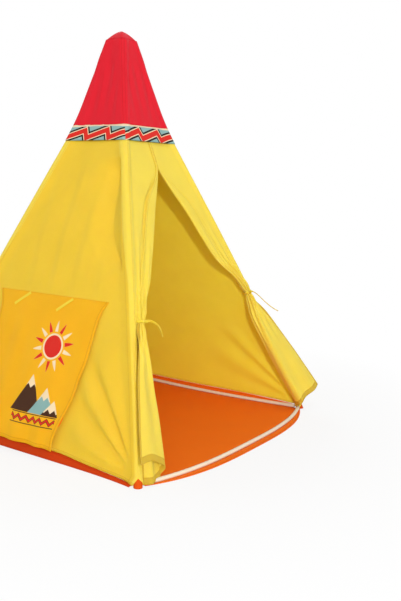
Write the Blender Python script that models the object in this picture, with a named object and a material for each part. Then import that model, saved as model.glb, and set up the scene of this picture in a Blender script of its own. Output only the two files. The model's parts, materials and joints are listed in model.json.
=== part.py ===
"""Kids' teepee: a fabric play tent on four bent poles, with a tied-back door and a window flap.

Metres, +Z up. The origin is the middle of the floor mat's underside and the door faces -Y.
"""
import math

import bmesh
import bpy
from mathutils import Vector

for stale in list(bpy.data.objects):
    bpy.data.objects.remove(stale, do_unlink=True)

# Tent shape: distance of the pole centre lines from the middle, by height
HEIGHT = 1.350
FOOT_HALF = 0.490
WAIST_HALF = 0.1239
NECK_HALF = 0.0835
CAP_HEIGHT = 0.320
BAND_HEIGHT = 0.051
NECK_RISE = 0.070
FOOT_LEAN_SHARE = 0.31
WAIST_LEAN_SHARE = 0.40
NECK_LEAN_SHARE = 0.27

# Cloth and clearances
GAP = 0.0003
SEAM_GAP = 0.0004
CLOTH = 0.0016
WALL_OUT = 0.006
BAND_OUT = 0.0137

# Poles, ferrules and feet
POLE_RADIUS = 0.004
FERRULE_LENGTH = 0.060
FERRULE_WALL = 0.0012
FOOT_CAP_LENGTH = 0.022
FOOT_CAP_WALL = 0.002
FOOT_CAP_TILT = 0.0026
SLEEVE_RADIUS = 0.012
SLEEVE_LAP = 0.040
POCKET_HEIGHT = 0.030

# Top hub and crown
CROWN_RISE = 0.032
CROWN_POWER_SHARE = 1.5
HUB_HEIGHT = 0.045
HUB_EDGE_RADIUS = 0.004
SOCKET_DEPTH = 0.030
CUT_OVERRUN = 0.010

# Wall hems and how far the cloth and the floor bow along each side
HEM_LOW = 0.009
HEM_RISE = {"left": 0.030, "right": 0.018, "back": 0.018}
HEM_POWER_SHARE = 4.0
WALL_BOW_FOOT = {"front": 0.0, "left": 0.0, "right": 0.040, "back": 0.017}
WALL_BOW_TOP = 0.004
FLOOR_INSET = 0.0065
FLOOR_BOW = {"front": 0.0695, "left": 0.010, "right": -0.0425, "back": -0.020}
FLOOR_BOW_POWER_SHARE = {"front": 3.0, "left": 2.0, "right": 2.0, "back": 2.0}
SILL_WIDTH = 0.033
SILL_CORNER_WIDTH = 0.004
SILL_POWER_SHARE = 4.0
BORDER_CURL_SHARE = 4.0
MAT_THICKNESS = 0.003
PIPING_RADIUS = 0.006
CORNER_INSET = 0.020

# Door: how far below the band the two front panels part, and the height of the ties
APEX_DROP = 0.087
TIE_HEIGHT = {"left": 0.430, "right": 0.455}
DOOR_SEAM_GAP = 0.0010
PLEAT_DEPTH = 0.0075
PLEAT_OUT = 0.006
PLEAT_HALF_WAVES_SHARE = 3.0
PLEAT_FADE_SHARE = 3.0
GATHER_FADE_SHARE = 6.0
TIE_INSET = 0.006
# Free edge of each panel: share of the way from tie to apex, share of the half width there
DOOR_EDGE_SHARES = {
    "left": ((0.0, 0.885), (0.19, 0.744), (0.40, 0.610), (0.71, 0.362), (1.0, 0.0)),
    "right": ((0.0, 0.885), (0.15, 0.796), (0.28, 0.643), (0.47, 0.527), (0.69, 0.384), (1.0, 0.0)),
}

# Door tails, below the ties: reach from the pole seam, inwards at the fold, outwards at the edge
TAIL_FOOT = 0.020
TAIL_SEAM_GAP = 0.0008
TAIL_DROP_GAP = 0.0005
TAIL_FOLD_REACH = {"left": (0.034, 0.070, 0.100), "right": (0.040, 0.056, 0.016)}
TAIL_FOLD_DEPTH = {"left": (0.018, 0.036, 0.050), "right": (0.018, 0.034, 0.040)}
TAIL_EDGE_REACH = {"left": (0.006, 0.046, 0.062), "right": (0.006, 0.056, 0.090)}
TAIL_EDGE_DEPTH = {"left": (0.026, 0.056, 0.062), "right": (0.026, 0.046, 0.064)}
TAIL_HEM_FAR = {"left": 0.019, "right": 0.020}
TAIL_HEM_NEAR = {"left": 0.107, "right": 0.090}
TAIL_WAVE = 0.006
TAIL_OPENING_SHARE = 0.7
# Section of a tail, from the seam round the fold to the free edge. Each point has its shares of
# the fold's reach, the edge's reach, the fold's depth, the edge's depth and the wave.
TAIL_SECTION_SHARES = (
    (0.00, 0.00, 0.00, 0.0, 0.0),
    (0.30, 0.00, 0.00, 0.0, 0.6),
    (0.62, 0.00, 0.00, 0.0, -0.2),
    (0.92, 0.00, 0.10, 0.0, 0.0),
    (1.00, 0.00, 0.45, 0.0, 0.0),
    (0.84, 0.00, 0.92, 0.0, 0.0),
    (0.40, 0.25, 1.00, 0.0, 1.0),
    (0.10, 0.62, 0.00, 1.0, -0.6),
    (0.00, 1.00, 0.00, 1.0, 0.0),
)

# Door ties and loose tape ends
TIE_WIDTH = 0.010
TIE_THICKNESS = 0.0014
TIE_HALF_LONG = 0.0225
TIE_HALF_DEEP = 0.0225
TAPE_WIDTH = 0.009
TAPE_THICKNESS = 0.0012
# Loose end of each tie: steps in to the door, out to the front and up the seam, from the loop
TIE_TAIL_ROUTE = {
    "left": (
        (-0.010, 0.0000, 0.000), (0.000, 0.0004, 0.000), (0.009, 0.004, -0.002), (0.017, 0.008, -0.006),
        (0.024, 0.010, -0.012), (0.031, 0.011, -0.020), (0.037, 0.011, -0.029), (0.042, 0.009, -0.039),
        (0.046, 0.006, -0.050),
    ),
    "right": (
        (0.010, 0.0000, 0.000), (0.000, 0.0004, 0.000), (-0.003, 0.006, -0.007), (-0.006, 0.013, -0.020),
        (-0.009, 0.019, -0.037), (-0.013, 0.025, -0.056), (-0.017, 0.033, -0.075), (-0.021, 0.042, -0.092),
        (-0.025, 0.052, -0.106),
    ),
}

# Window, its binding and its flap, all on the left wall
WINDOW_WIDTH = 0.300
WINDOW_HEIGHT = 0.330
WINDOW_BOTTOM = 0.100
WINDOW_CORNER = 0.030
BINDING_WIDTH = 0.016
BINDING_THICKNESS = 0.0020
FLAP_HEAD = 0.051
FLAP_SHOULDER_DROP = 0.081
FLAP_FOOT = 0.063
FLAP_TOP_HALF = 0.246
FLAP_SHOULDER_HALF = 0.216
FLAP_BOTTOM_HALF = 0.172
FLAP_STEP = 0.025
FLAP_ROW_SHARE = 1.4
FLAP_SWELL = 0.012
FLAP_SWELL_POWER_SHARE = 3.0
FLAP_FOLD = 0.005
FLAP_FOLDS_SHARE = 5.0
HINGE_DROP = 0.003
# Tapes on the flap: where each starts and ends, along the wall and down from the flap's top
TAPE_CLEARANCE = 0.0014
WINDOW_TAPES = {
    "window_tape_back": ((0.099, 0.005), (0.156, 0.045)),
    "window_tape_front": ((-0.093, 0.007), (-0.038, 0.047)),
}

# Sides of the tent: the outward direction of each
SIDE_SHARES = {
    "front": (0.0, -1.0),
    "right": (1.0, 0.0),
    "back": (0.0, 1.0),
    "left": (-1.0, 0.0),
}
CORNER_SHARES = {
    "front_left": (-1.0, -1.0),
    "front_right": (1.0, -1.0),
    "back_right": (1.0, 1.0),
    "back_left": (-1.0, 1.0),
}
HAND_SHARES = {"left": -1.0, "right": 1.0}

# Mesh density: how many facets and steps each kind of piece has
TUBE_SIDES = 8
POLE_STEPS = 8
SLEEVE_STEPS = 10
WALL_COLUMNS = 12
WALL_ROWS = 9
PANEL_COLUMNS = 14
PANEL_ROWS = 14
TAIL_COLUMNS = 18
TAIL_ROWS = 10
FLAP_COLUMNS = 10
FLAP_ROWS = 9
TIE_STEPS = 20
TAPE_STEPS = 7
CORNER_STEPS = 3
STRAIGHT_STEPS = 4

# Heights that follow from the sizes above
CAP_BOTTOM = HEIGHT - CAP_HEIGHT
BAND_BOTTOM = CAP_BOTTOM - BAND_HEIGHT
NECK_HEIGHT = CAP_BOTTOM + NECK_RISE
CROWN_BOTTOM = HEIGHT - CROWN_RISE
HUB_TOP = CROWN_BOTTOM - GAP
HUB_BOTTOM = HUB_TOP - HUB_HEIGHT
SOCKET_TOP = HUB_BOTTOM + SOCKET_DEPTH
FOOT_CAP_BOTTOM = CLOTH + 2.0 * GAP + FOOT_CAP_TILT
POLE_BOTTOM = FOOT_CAP_BOTTOM + FOOT_CAP_WALL + GAP
POLE_TOP = SOCKET_TOP - GAP
SLEEVE_RADII = (SLEEVE_RADIUS, SLEEVE_RADIUS - CLOTH)
APEX_HEIGHT = BAND_BOTTOM - APEX_DROP
WINDOW_MIDDLE = WINDOW_BOTTOM + WINDOW_HEIGHT / 2.0
FLAP_TOP = WINDOW_BOTTOM + WINDOW_HEIGHT + FLAP_HEAD
FLAP_SHOULDER = FLAP_TOP - FLAP_SHOULDER_DROP
FLAP_BOTTOM = WINDOW_BOTTOM - FLAP_FOOT
SEAM_RADIUS = SLEEVE_RADIUS + SEAM_GAP + CLOTH / 2.0
SEAM_INSET = math.sqrt(SEAM_RADIUS ** 2 - WALL_OUT ** 2)
FACET_SHARE = 1.0 / math.cos(math.pi / TUBE_SIDES)

COLOURS = {
    "yellow_cloth": (0.72, 0.47, 0.07),
    "flap_cloth": (0.80, 0.47, 0.06),
    "orange_cloth": (0.74, 0.20, 0.03),
    "red_cloth": (0.52, 0.05, 0.03),
    "cream_trim": (0.78, 0.66, 0.42),
    "mustard_tape": (0.55, 0.36, 0.06),
    "pole_grey": (0.10, 0.10, 0.11),
    "ferrule_metal": (0.60, 0.60, 0.62),
    "black_plastic": (0.03, 0.03, 0.03),
}
ROUGHNESS_SHARE = {"cloth": 0.90, "pole_grey": 0.45, "ferrule_metal": 0.30, "black_plastic": 0.50}


def material(name):
    """The named colour as a Principled material, made once."""
    made = bpy.data.materials.get(name)
    if made:
        return made
    made = bpy.data.materials.new(name)
    made.use_nodes = True
    shader = made.node_tree.nodes["Principled BSDF"]
    shader.inputs["Base Color"].default_value = (*COLOURS[name], 1.0)
    shader.inputs["Roughness"].default_value = ROUGHNESS_SHARE.get(name, ROUGHNESS_SHARE["cloth"])
    shader.inputs["Metallic"].default_value = 1.0 if name == "ferrule_metal" else 0.0
    made.diffuse_color = (*COLOURS[name], 1.0)
    return made


def add_object(name, bm, colour, pivot=None):
    """Turn a bmesh into a linked object, with its origin moved to pivot when one is given."""
    bmesh.ops.recalc_face_normals(bm, faces=bm.faces)
    mesh = bpy.data.meshes.new(name)
    if pivot is not None:
        bmesh.ops.translate(bm, verts=bm.verts, vec=-pivot)
    bm.to_mesh(mesh)
    bm.free()
    mesh.shade_smooth()
    mesh.set_sharp_from_angle(angle=math.radians(40))
    mesh.materials.append(material(colour))
    made = bpy.data.objects.new(name, mesh)
    if pivot is not None:
        made.location = pivot
    bpy.context.scene.collection.objects.link(made)
    return made


def grid_faces(bm, rows, wrap=False):
    """Join rows of vertices with quads; wrap joins each row's last vertex to its first."""
    for low, high in zip(rows, rows[1:]):
        count = len(low)
        for index in range(count if wrap else count - 1):
            after = (index + 1) % count
            bm.faces.new((low[index], low[after], high[after], high[index]))


def cloth(name, surface, columns, rows, colour, thickness=CLOTH, wrap=False, pivot=None):
    """A sheet of even thickness about surface(u, v), with u and v running from 0 to 1."""
    bm = bmesh.new()
    steps = columns if wrap else columns + 1
    lines = []
    for row in range(rows + 1):
        lines.append([bm.verts.new(surface(step / columns, row / rows)) for step in range(steps)])
    grid_faces(bm, lines, wrap)
    made = add_object(name, bm, colour, pivot)
    solidify = made.modifiers.new("Thickness", "SOLIDIFY")
    solidify.thickness = thickness
    solidify.offset = 0.0
    return made


def ring(bm, centre, tangent, across, radius, sides=TUBE_SIDES):
    """A ring of vertices about centre, square to tangent, with a flat in the across direction."""
    first = (across - tangent * across.dot(tangent)).normalized()
    second = tangent.cross(first)
    points = []
    for side in range(sides):
        turn = 2.0 * math.pi * (side + 0.5) / sides
        points.append(centre + (first * math.cos(turn) + second * math.sin(turn)) * radius)
    return [bm.verts.new(point) for point in points]


def tangents(points):
    """Unit directions along a polyline, one for each point."""
    spans = [points[min(i + 1, len(points) - 1)] - points[max(i - 1, 0)] for i in range(len(points))]
    return [span.normalized() for span in spans]


def add_rings(bm, centres, across, radius):
    """Rings of one radius along a path."""
    return [ring(bm, c, t, across, radius) for c, t in zip(centres, tangents(centres))]


def add_pipe(bm, points, across, outer, inner):
    """An open-ended pipe along points."""
    rings = add_rings(bm, points, across, outer) + add_rings(bm, points, across, inner)[::-1]
    rings.append(rings[0])
    grid_faces(bm, rings, wrap=True)


def add_cup(bm, points, floor_point, across, outer, inner):
    """A pipe along points with its low end closed by a floor that reaches floor_point."""
    hollow = [floor_point] + [p for p in points if p.z > floor_point.z + GAP]
    rings = add_rings(bm, points, across, outer) + add_rings(bm, hollow, across, inner)[::-1]
    grid_faces(bm, rings, wrap=True)
    bm.faces.new(rings[0])
    bm.faces.new(rings[-1])


def add_rod(bm, points, across, radius):
    """A solid rod along points."""
    rings = add_rings(bm, points, across, radius)
    grid_faces(bm, rings, wrap=True)
    bm.faces.new(rings[0])
    bm.faces.new(rings[-1])


def hermite(z, low, high):
    """Smooth value at height z between two (height, value, slope) knots."""
    (z0, value0, slope0), (z1, value1, slope1) = low, high
    span = z1 - z0
    t = (z - z0) / span
    ease = t * t * (3.0 - 2.0 * t)
    rise = span * (slope0 * t * (1.0 - t) ** 2 - slope1 * t * t * (1.0 - t))
    return value0 + (value1 - value0) * ease + rise


def pole_half(z):
    """Distance of the pole centre lines from the tent's middle planes at height z."""
    foot = (0.0, FOOT_HALF, -FOOT_LEAN_SHARE)
    waist = (BAND_BOTTOM, WAIST_HALF, -WAIST_LEAN_SHARE)
    neck = (NECK_HEIGHT, NECK_HALF, -NECK_LEAN_SHARE)
    if z < BAND_BOTTOM:
        return hermite(z, foot, waist)
    if z < NECK_HEIGHT:
        return hermite(z, waist, neck)
    return NECK_HALF - NECK_LEAN_SHARE * (z - NECK_HEIGHT)


def pole_point(corner, z):
    """A point on a corner's pole centre line."""
    half = pole_half(z)
    return Vector((CORNER_SHARES[corner][0] * half, CORNER_SHARES[corner][1] * half, z))


def pole_path(corner, low, high, steps):
    """Evenly spaced points along a pole centre line between two heights."""
    return [pole_point(corner, low + (high - low) * step / steps) for step in range(steps + 1)]


def outward(corner):
    """The level direction from the middle of the tent to a corner."""
    return Vector((*CORNER_SHARES[corner], 0.0)).normalized()


def place(side, along, out, z):
    """A point given by its place along a side, its distance out from the middle and its height."""
    nx, ny = SIDE_SHARES[side]
    return Vector((nx * out - ny * along, ny * out + nx * along, z))


def blend(values, share):
    """Smooth value along an even list of three values, by share of the way."""
    start, middle, end = values
    bend = 2.0 * (2.0 * middle - 0.5 * (start + end)) - (start + end)
    return start + (end - start) * share + 2.0 * share * (1.0 - share) * bend * 0.5


def table_value(table, share):
    """Value of a table of (share, value) pairs, eased between its rows."""
    for (low, start), (high, end) in zip(table, table[1:]):
        if share <= high:
            return start + (end - start) * max(0.0, share - low) / (high - low)
    return table[-1][1]


def wall_out(side, along, z, extra=0.0):
    """Distance out of a wall's middle surface, with its bow, plus a layer on top of it."""
    reach = pole_half(z) - SEAM_INSET
    across = min(1.0, abs(along) / reach)
    fade = max(0.0, 1.0 - z / BAND_BOTTOM) ** 2
    bow = WALL_BOW_TOP + (WALL_BOW_FOOT[side] - WALL_BOW_TOP) * fade
    return pole_half(z) + WALL_OUT - bow * (1.0 - across ** 2) + extra


def hem_height(side, share):
    """Height of a wall's hem, which rises towards the middle of its side."""
    return HEM_LOW + HEM_RISE[side] * (1.0 - abs(share) ** HEM_POWER_SHARE)


def floor_edge(side, share, shift=0.0):
    """Distance out of the floor's seam along a side, by share from the middle to a corner."""
    bulge = 1.0 - abs(share) ** FLOOR_BOW_POWER_SHARE[side]
    return FOOT_HALF - FLOOR_INSET + FLOOR_BOW[side] * bulge + shift


def wall_surface(side):
    """Surface of a side wall from hem to band."""
    def surface(u, v):
        across = 2.0 * u - 1.0
        hem = hem_height(side, across)
        z = hem + (BAND_BOTTOM - GAP - hem) * v
        along = across * (pole_half(z) - SEAM_INSET)
        return place(side, along, wall_out(side, along, z), z)
    return surface


def window_outline(grow):
    """Points round the window, grown outwards, about its centre and anticlockwise from lower right."""
    corner = WINDOW_CORNER + grow
    straight_y = WINDOW_WIDTH - 2.0 * WINDOW_CORNER
    straight_z = WINDOW_HEIGHT - 2.0 * WINDOW_CORNER
    points = []
    for quarter, (sy, sz) in enumerate(((1, -1), (1, 1), (-1, 1), (-1, -1))):
        middle = Vector((sy * straight_y, sz * straight_z)) / 2.0
        for step in range(CORNER_STEPS + 1):
            turn = math.pi / 2.0 * (quarter - 1 + step / CORNER_STEPS)
            points.append(middle + corner * Vector((math.cos(turn), math.sin(turn))))
        upright = quarter % 2 == 0
        run = Vector((0.0, sy * straight_z)) if upright else Vector((-sz * straight_y, 0.0))
        last = points[-1]
        points += [last + run * step / STRAIGHT_STEPS for step in range(1, STRAIGHT_STEPS)]
    return points


def build_poles():
    """Four bent poles, each in two sections that meet inside a ferrule, with a cap on its foot."""
    joint = (POLE_BOTTOM + POLE_TOP) / 2.0
    bore = (POLE_RADIUS + GAP) * FACET_SHARE
    for corner in CORNER_SHARES:
        add_pole(f"pole_{corner}_lower", corner, POLE_BOTTOM, joint - GAP / 2.0)
        add_pole(f"pole_{corner}_upper", corner, joint + GAP / 2.0, POLE_TOP)
        ferrule = bmesh.new()
        path = pole_path(corner, joint - FERRULE_LENGTH / 2.0, joint + FERRULE_LENGTH / 2.0, 2)
        add_pipe(ferrule, path, outward(corner), bore + FERRULE_WALL, bore)
        add_object(f"ferrule_{corner}", ferrule, "ferrule_metal")
        cap = bmesh.new()
        path = pole_path(corner, FOOT_CAP_BOTTOM, FOOT_CAP_BOTTOM + FOOT_CAP_LENGTH, 2)
        floor_point = pole_point(corner, FOOT_CAP_BOTTOM + FOOT_CAP_WALL)
        add_cup(cap, path, floor_point, outward(corner), bore + FOOT_CAP_WALL, bore)
        add_object(f"pole_foot_{corner}", cap, "black_plastic")


def add_pole(name, corner, low, high):
    """One bent pole section, as a round bevelled curve along the corner."""
    curve = bpy.data.curves.new(name, "CURVE")
    curve.dimensions = "3D"
    curve.bevel_depth = POLE_RADIUS
    curve.bevel_resolution = 2
    curve.use_fill_caps = True
    spline = curve.splines.new("POLY")
    spline.points.add(POLE_STEPS)
    for point, centre in zip(spline.points, pole_path(corner, low, high, POLE_STEPS)):
        point.co = (*centre, 1.0)
    curve.materials.append(material("pole_grey"))
    bpy.context.scene.collection.objects.link(bpy.data.objects.new(name, curve))


def build_hub():
    """Moulded block that holds the four pole tips and carries the cap."""
    margin = BAND_OUT - CLOTH / 2.0 - SEAM_GAP
    bm = bmesh.new()
    rows = []
    for z in (HUB_BOTTOM, HUB_TOP):
        half = pole_half(z) + margin
        rows.append([bm.verts.new((sx * half, sy * half, z)) for sx, sy in CORNER_SHARES.values()])
    grid_faces(bm, rows, wrap=True)
    bm.faces.new(rows[0])
    bm.faces.new(rows[1])
    hub = add_object("top_hub", bm, "black_plastic")
    bevel = hub.modifiers.new("Edges", "BEVEL")
    bevel.width = HUB_EDGE_RADIUS
    bevel.segments = 2
    for corner in CORNER_SHARES:
        bm = bmesh.new()
        path = pole_path(corner, HUB_BOTTOM - CUT_OVERRUN, SOCKET_TOP, 2)
        add_rod(bm, path, outward(corner), (POLE_RADIUS + GAP) * FACET_SHARE)
        cutter = add_object(f"socket_cutter_{corner}", bm, "black_plastic")
        cutter.hide_render = True
        cutter.display_type = "WIRE"
        cut = hub.modifiers.new(f"Socket {corner}", "BOOLEAN")
        cut.object = cutter
        cut.operation = "DIFFERENCE"


def build_sleeves():
    """A cloth sleeve round each pole and a closed pocket under it for the pole's foot."""
    for corner in CORNER_SHARES:
        sleeve = bmesh.new()
        path = pole_path(corner, POCKET_HEIGHT + SEAM_GAP, BAND_BOTTOM + SLEEVE_LAP, SLEEVE_STEPS)
        rims = [add_level_rings(sleeve, path, outward(corner), radius) for radius in SLEEVE_RADII]
        grid_faces(sleeve, rims[0] + rims[1][::-1] + rims[0][:1], wrap=True)
        add_object(f"pole_sleeve_{corner}", sleeve, "yellow_cloth")
        pocket = bmesh.new()
        path = pole_path(corner, 0.0, POCKET_HEIGHT, 2)
        add_level_cup(pocket, path, outward(corner))
        add_object(f"corner_pocket_{corner}", pocket, "orange_cloth")


def add_level_rings(bm, points, across, radius):
    """Level rings along a leaning path, so that its ends are cut flat."""
    up = Vector((0.0, 0.0, 1.0))
    return [ring(bm, point, up, across, radius) for point in points]


def add_level_cup(bm, points, across):
    """A pocket with level rims, so that its floor lies flat on the ground."""
    hollow = [points[0] + Vector((0.0, 0.0, CLOTH))] + points[1:]
    outer = add_level_rings(bm, points, across, SLEEVE_RADII[0])
    inner = add_level_rings(bm, hollow, across, SLEEVE_RADII[1])
    rings = outer + inner[::-1]
    grid_faces(bm, rings, wrap=True)
    bm.faces.new(rings[0])
    bm.faces.new(rings[-1])


def build_walls():
    """Left, right and back walls; the left one has the window cut out."""
    for side in ("left", "right", "back"):
        wall = cloth(f"wall_{side}", wall_surface(side), WALL_COLUMNS, WALL_ROWS, "yellow_cloth")
        if side == "left":
            cut_window(wall)


def cut_window(wall):
    """Cut the rounded window opening through the left wall."""
    bm = bmesh.new()
    rows = []
    for x in (-FOOT_HALF - CUT_OVERRUN * 2.0, 0.0):
        rows.append([bm.verts.new((x, y, WINDOW_MIDDLE + z)) for y, z in window_outline(0.0)])
    grid_faces(bm, rows, wrap=True)
    bm.faces.new(rows[0])
    bm.faces.new(rows[1])
    cutter = add_object("window_cutter", bm, "yellow_cloth")
    cutter.hide_render = True
    cutter.display_type = "WIRE"
    cut = wall.modifiers.new("Window", "BOOLEAN")
    cut.object = cutter
    cut.operation = "DIFFERENCE"


def layer_out(z, layer):
    """Distance along the level needed to stand a layer off the leaning wall at height z."""
    step = GAP
    lean = (pole_half(z) - pole_half(z + step)) / step
    return layer * math.sqrt(1.0 + lean ** 2)


def build_window():
    """Binding round the window, the flap that hangs over it and the flap's two tapes."""
    layer = CLOTH / 2.0 + SEAM_GAP + BINDING_THICKNESS / 2.0

    def binding(u, v):
        outline = window_outline(BINDING_WIDTH * v)
        y, rise = outline[round(u * len(outline)) % len(outline)]
        z = WINDOW_MIDDLE + rise
        return place("left", -y, wall_out("left", -y, z, layer_out(z, layer)), z)

    steps = len(window_outline(0.0))
    cloth("window_binding", binding, steps, 1, "orange_cloth", BINDING_THICKNESS, wrap=True)
    hinge = flap_hinge()
    cloth("window_flap", flap_surface, FLAP_COLUMNS, FLAP_ROWS, "flap_cloth", pivot=hinge)
    for name, (start, end) in WINDOW_TAPES.items():
        path = []
        for step in range(TAPE_STEPS + 1):
            y, drop = Vector(start).lerp(Vector(end), step / TAPE_STEPS)
            z = FLAP_TOP - drop
            lift = flap_layer(z, y) + CLOTH / 2.0 + TAPE_CLEARANCE + TAPE_THICKNESS / 2.0
            path.append(place("left", -y, wall_out("left", -y, z, layer_out(z, lift)), z))
        run = (path[-1] - path[0]).normalized()
        wide = run.cross(Vector((-1.0, 0.0, WAIST_LEAN_SHARE))).normalized()
        add_tape(name, path, wide, hinge)


def flap_half(z):
    """Half width of the window flap at height z."""
    if z > FLAP_SHOULDER:
        share = (z - FLAP_SHOULDER) / (FLAP_TOP - FLAP_SHOULDER)
        return FLAP_SHOULDER_HALF + (FLAP_TOP_HALF - FLAP_SHOULDER_HALF) * share ** 2
    share = (z - FLAP_BOTTOM) / (FLAP_SHOULDER - FLAP_BOTTOM)
    return FLAP_BOTTOM_HALF + (FLAP_SHOULDER_HALF - FLAP_BOTTOM_HALF) * share


def flap_layer(z, y):
    """Distance of the flap's middle surface from the wall's, with its shallow folds."""
    step = min(1.0, max(0.0, FLAP_TOP - HINGE_DROP - z) / FLAP_STEP)
    rest = CLOTH + SEAM_GAP + (BINDING_THICKNESS + SEAM_GAP) * step
    fall = (FLAP_TOP - z) / (FLAP_TOP - FLAP_BOTTOM)
    across = y / FLAP_TOP_HALF
    swell = FLAP_SWELL * (1.0 - across ** 2) * (1.0 - (1.0 - fall) ** FLAP_SWELL_POWER_SHARE)
    folds = FLAP_FOLD * fall * (1.0 + math.cos(FLAP_FOLDS_SHARE * math.pi * across)) / 2.0
    return rest + swell + folds


def flap_surface(u, v):
    """Surface of the window flap, hanging over the left wall."""
    z = FLAP_TOP - HINGE_DROP - (FLAP_TOP - HINGE_DROP - FLAP_BOTTOM) * v ** FLAP_ROW_SHARE
    y = flap_half(z) * (1.0 - 2.0 * u)
    return place("left", -y, wall_out("left", -y, z, layer_out(z, flap_layer(z, y))), z)


def flap_hinge():
    """The flap's hinge line, at the inner face of its top edge."""
    inner = CLOTH / 2.0 + SEAM_GAP
    return place("left", 0.0, pole_half(FLAP_TOP) + WALL_OUT + layer_out(FLAP_TOP, inner), FLAP_TOP)


def add_tape(name, path, wide, pivot=None, width=TAPE_WIDTH):
    """A flat tape along path, its width in the wide direction."""
    bm = bmesh.new()
    rows = []
    for centre, along in zip(path, tangents(path)):
        across = (wide - along * wide.dot(along)).normalized() * width / 2.0
        thick = along.cross(across).normalized() * TAPE_THICKNESS / 2.0
        corners = (across + thick, thick - across, -across - thick, across - thick)
        rows.append([bm.verts.new(centre + corner) for corner in corners])
    grid_faces(bm, rows, wrap=True)
    bm.faces.new(rows[0])
    bm.faces.new(rows[-1])
    add_object(name, bm, "mustard_tape", pivot)


def seam_point(hand, z):
    """Where a front panel leaves its pole sleeve, at height z."""
    half = pole_half(z)
    return Vector((HAND_SHARES[hand] * (half - SEAM_INSET), -half - WALL_OUT, z))


def seam_frame(hand):
    """Foot of a door seam and its directions: up the seam, in to the door, out to the front."""
    foot = seam_point(hand, TAIL_FOOT)
    up = (seam_point(hand, TIE_HEIGHT[hand]) - foot).normalized()
    inward = Vector((-HAND_SHARES[hand], 0.0, 0.0))
    inward = (inward - up * inward.dot(up)).normalized()
    front = Vector((0.0, -1.0, 0.0))
    front = (front - up * front.dot(up) - inward * front.dot(inward)).normalized()
    return foot, up, inward, front


def panel_surface(hand):
    """Surface of a front panel, from its gathered end in the tie up to the band."""
    foot, up, inward, front = seam_frame(hand)
    low = TIE_HEIGHT[hand] - TIE_WIDTH * up.z
    top = BAND_BOTTOM - GAP

    def surface(u, v):
        z_pole = low + (top - low) * v
        rise = (z_pole - TIE_HEIGHT[hand]) / (APEX_HEIGHT - TIE_HEIGHT[hand])
        near_tie = max(0.0, 1.0 - v) ** GATHER_FADE_SHARE
        half = pole_half(z_pole)
        outer_edge = half - SEAM_INSET - TIE_INSET * near_tie
        inner_edge = max(DOOR_SEAM_GAP / 2.0, half * table_value(DOOR_EDGE_SHARES[hand], rise))
        along = outer_edge + (inner_edge - outer_edge) * u
        waves = math.sin(PLEAT_HALF_WAVES_SHARE * math.pi * u)
        pleats = PLEAT_DEPTH * waves * max(0.0, 1.0 - v) ** PLEAT_FADE_SHARE
        out = wall_out("front", along, z_pole) + PLEAT_OUT * near_tie + pleats
        point = Vector((HAND_SHARES[hand] * along, -out, z_pole))
        level = (seam_point(hand, z_pole) - point).dot(up)
        return point + up * level * near_tie

    return surface


def tail_section(hand, v):
    """Points of a tail's cross-section from seam to fold to free edge, as (in, front) lengths."""
    ease = v ** TAIL_OPENING_SHARE
    fold = blend(TAIL_FOLD_REACH[hand], ease)
    depth = blend(TAIL_FOLD_DEPTH[hand], ease)
    edge = blend(TAIL_EDGE_REACH[hand], ease)
    edge_depth = blend(TAIL_EDGE_DEPTH[hand], ease)
    wave = TAIL_WAVE * ease
    return [
        (fold * a - edge * b, depth * c + edge_depth * d + wave * e)
        for a, b, c, d, e in TAIL_SECTION_SHARES
    ]


def smooth_point(points, share):
    """Point on a Catmull-Rom curve through points, by share of the way along its spans."""
    place_on = share * (len(points) - 1)
    index = min(int(place_on), len(points) - 2)
    t = place_on - index
    p0 = points[max(index - 1, 0)]
    p1, p2 = points[index], points[index + 1]
    p3 = points[min(index + 2, len(points) - 1)]
    mixed = []
    for a, b, c, d in zip(p0, p1, p2, p3):
        curve = 2.0 * a - 5.0 * b + 4.0 * c - d + t * (3.0 * (b - c) + d - a)
        mixed.append(b + 0.5 * t * (c - a + t * curve))
    return mixed


def tail_surface(hand):
    """Surface of a door tail: folded cloth that hangs from the tie and wraps out past the pole."""
    foot, up, inward, front = seam_frame(hand)
    tie = (seam_point(hand, TIE_HEIGHT[hand]) - foot).length
    top = tie - TIE_WIDTH - TAIL_DROP_GAP

    def surface(u, v):
        reach, depth = smooth_point(tail_section(hand, v), u)
        near = max(0.0, (u - 0.5) * 2.0)
        hem = TAIL_HEM_FAR[hand] + (TAIL_HEM_NEAR[hand] - TAIL_HEM_FAR[hand]) * near
        low = (hem - foot.z - reach * inward.z - depth * front.z) / up.z
        reach += TAIL_SEAM_GAP * (1.0 - u)
        return foot + up * (top + (low - top) * v) + inward * reach + front * depth

    return surface


def build_door():
    """Two front panels, the tails below their ties, the tie loops and their loose ends."""
    for hand in HAND_SHARES:
        foot, up, inward, front = seam_frame(hand)
        cloth(f"front_panel_{hand}", panel_surface(hand), PANEL_COLUMNS, PANEL_ROWS, "yellow_cloth")
        cloth(f"door_flap_{hand}", tail_surface(hand), TAIL_COLUMNS, TAIL_ROWS, "yellow_cloth", pivot=foot)
        build_tie(hand)


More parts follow.
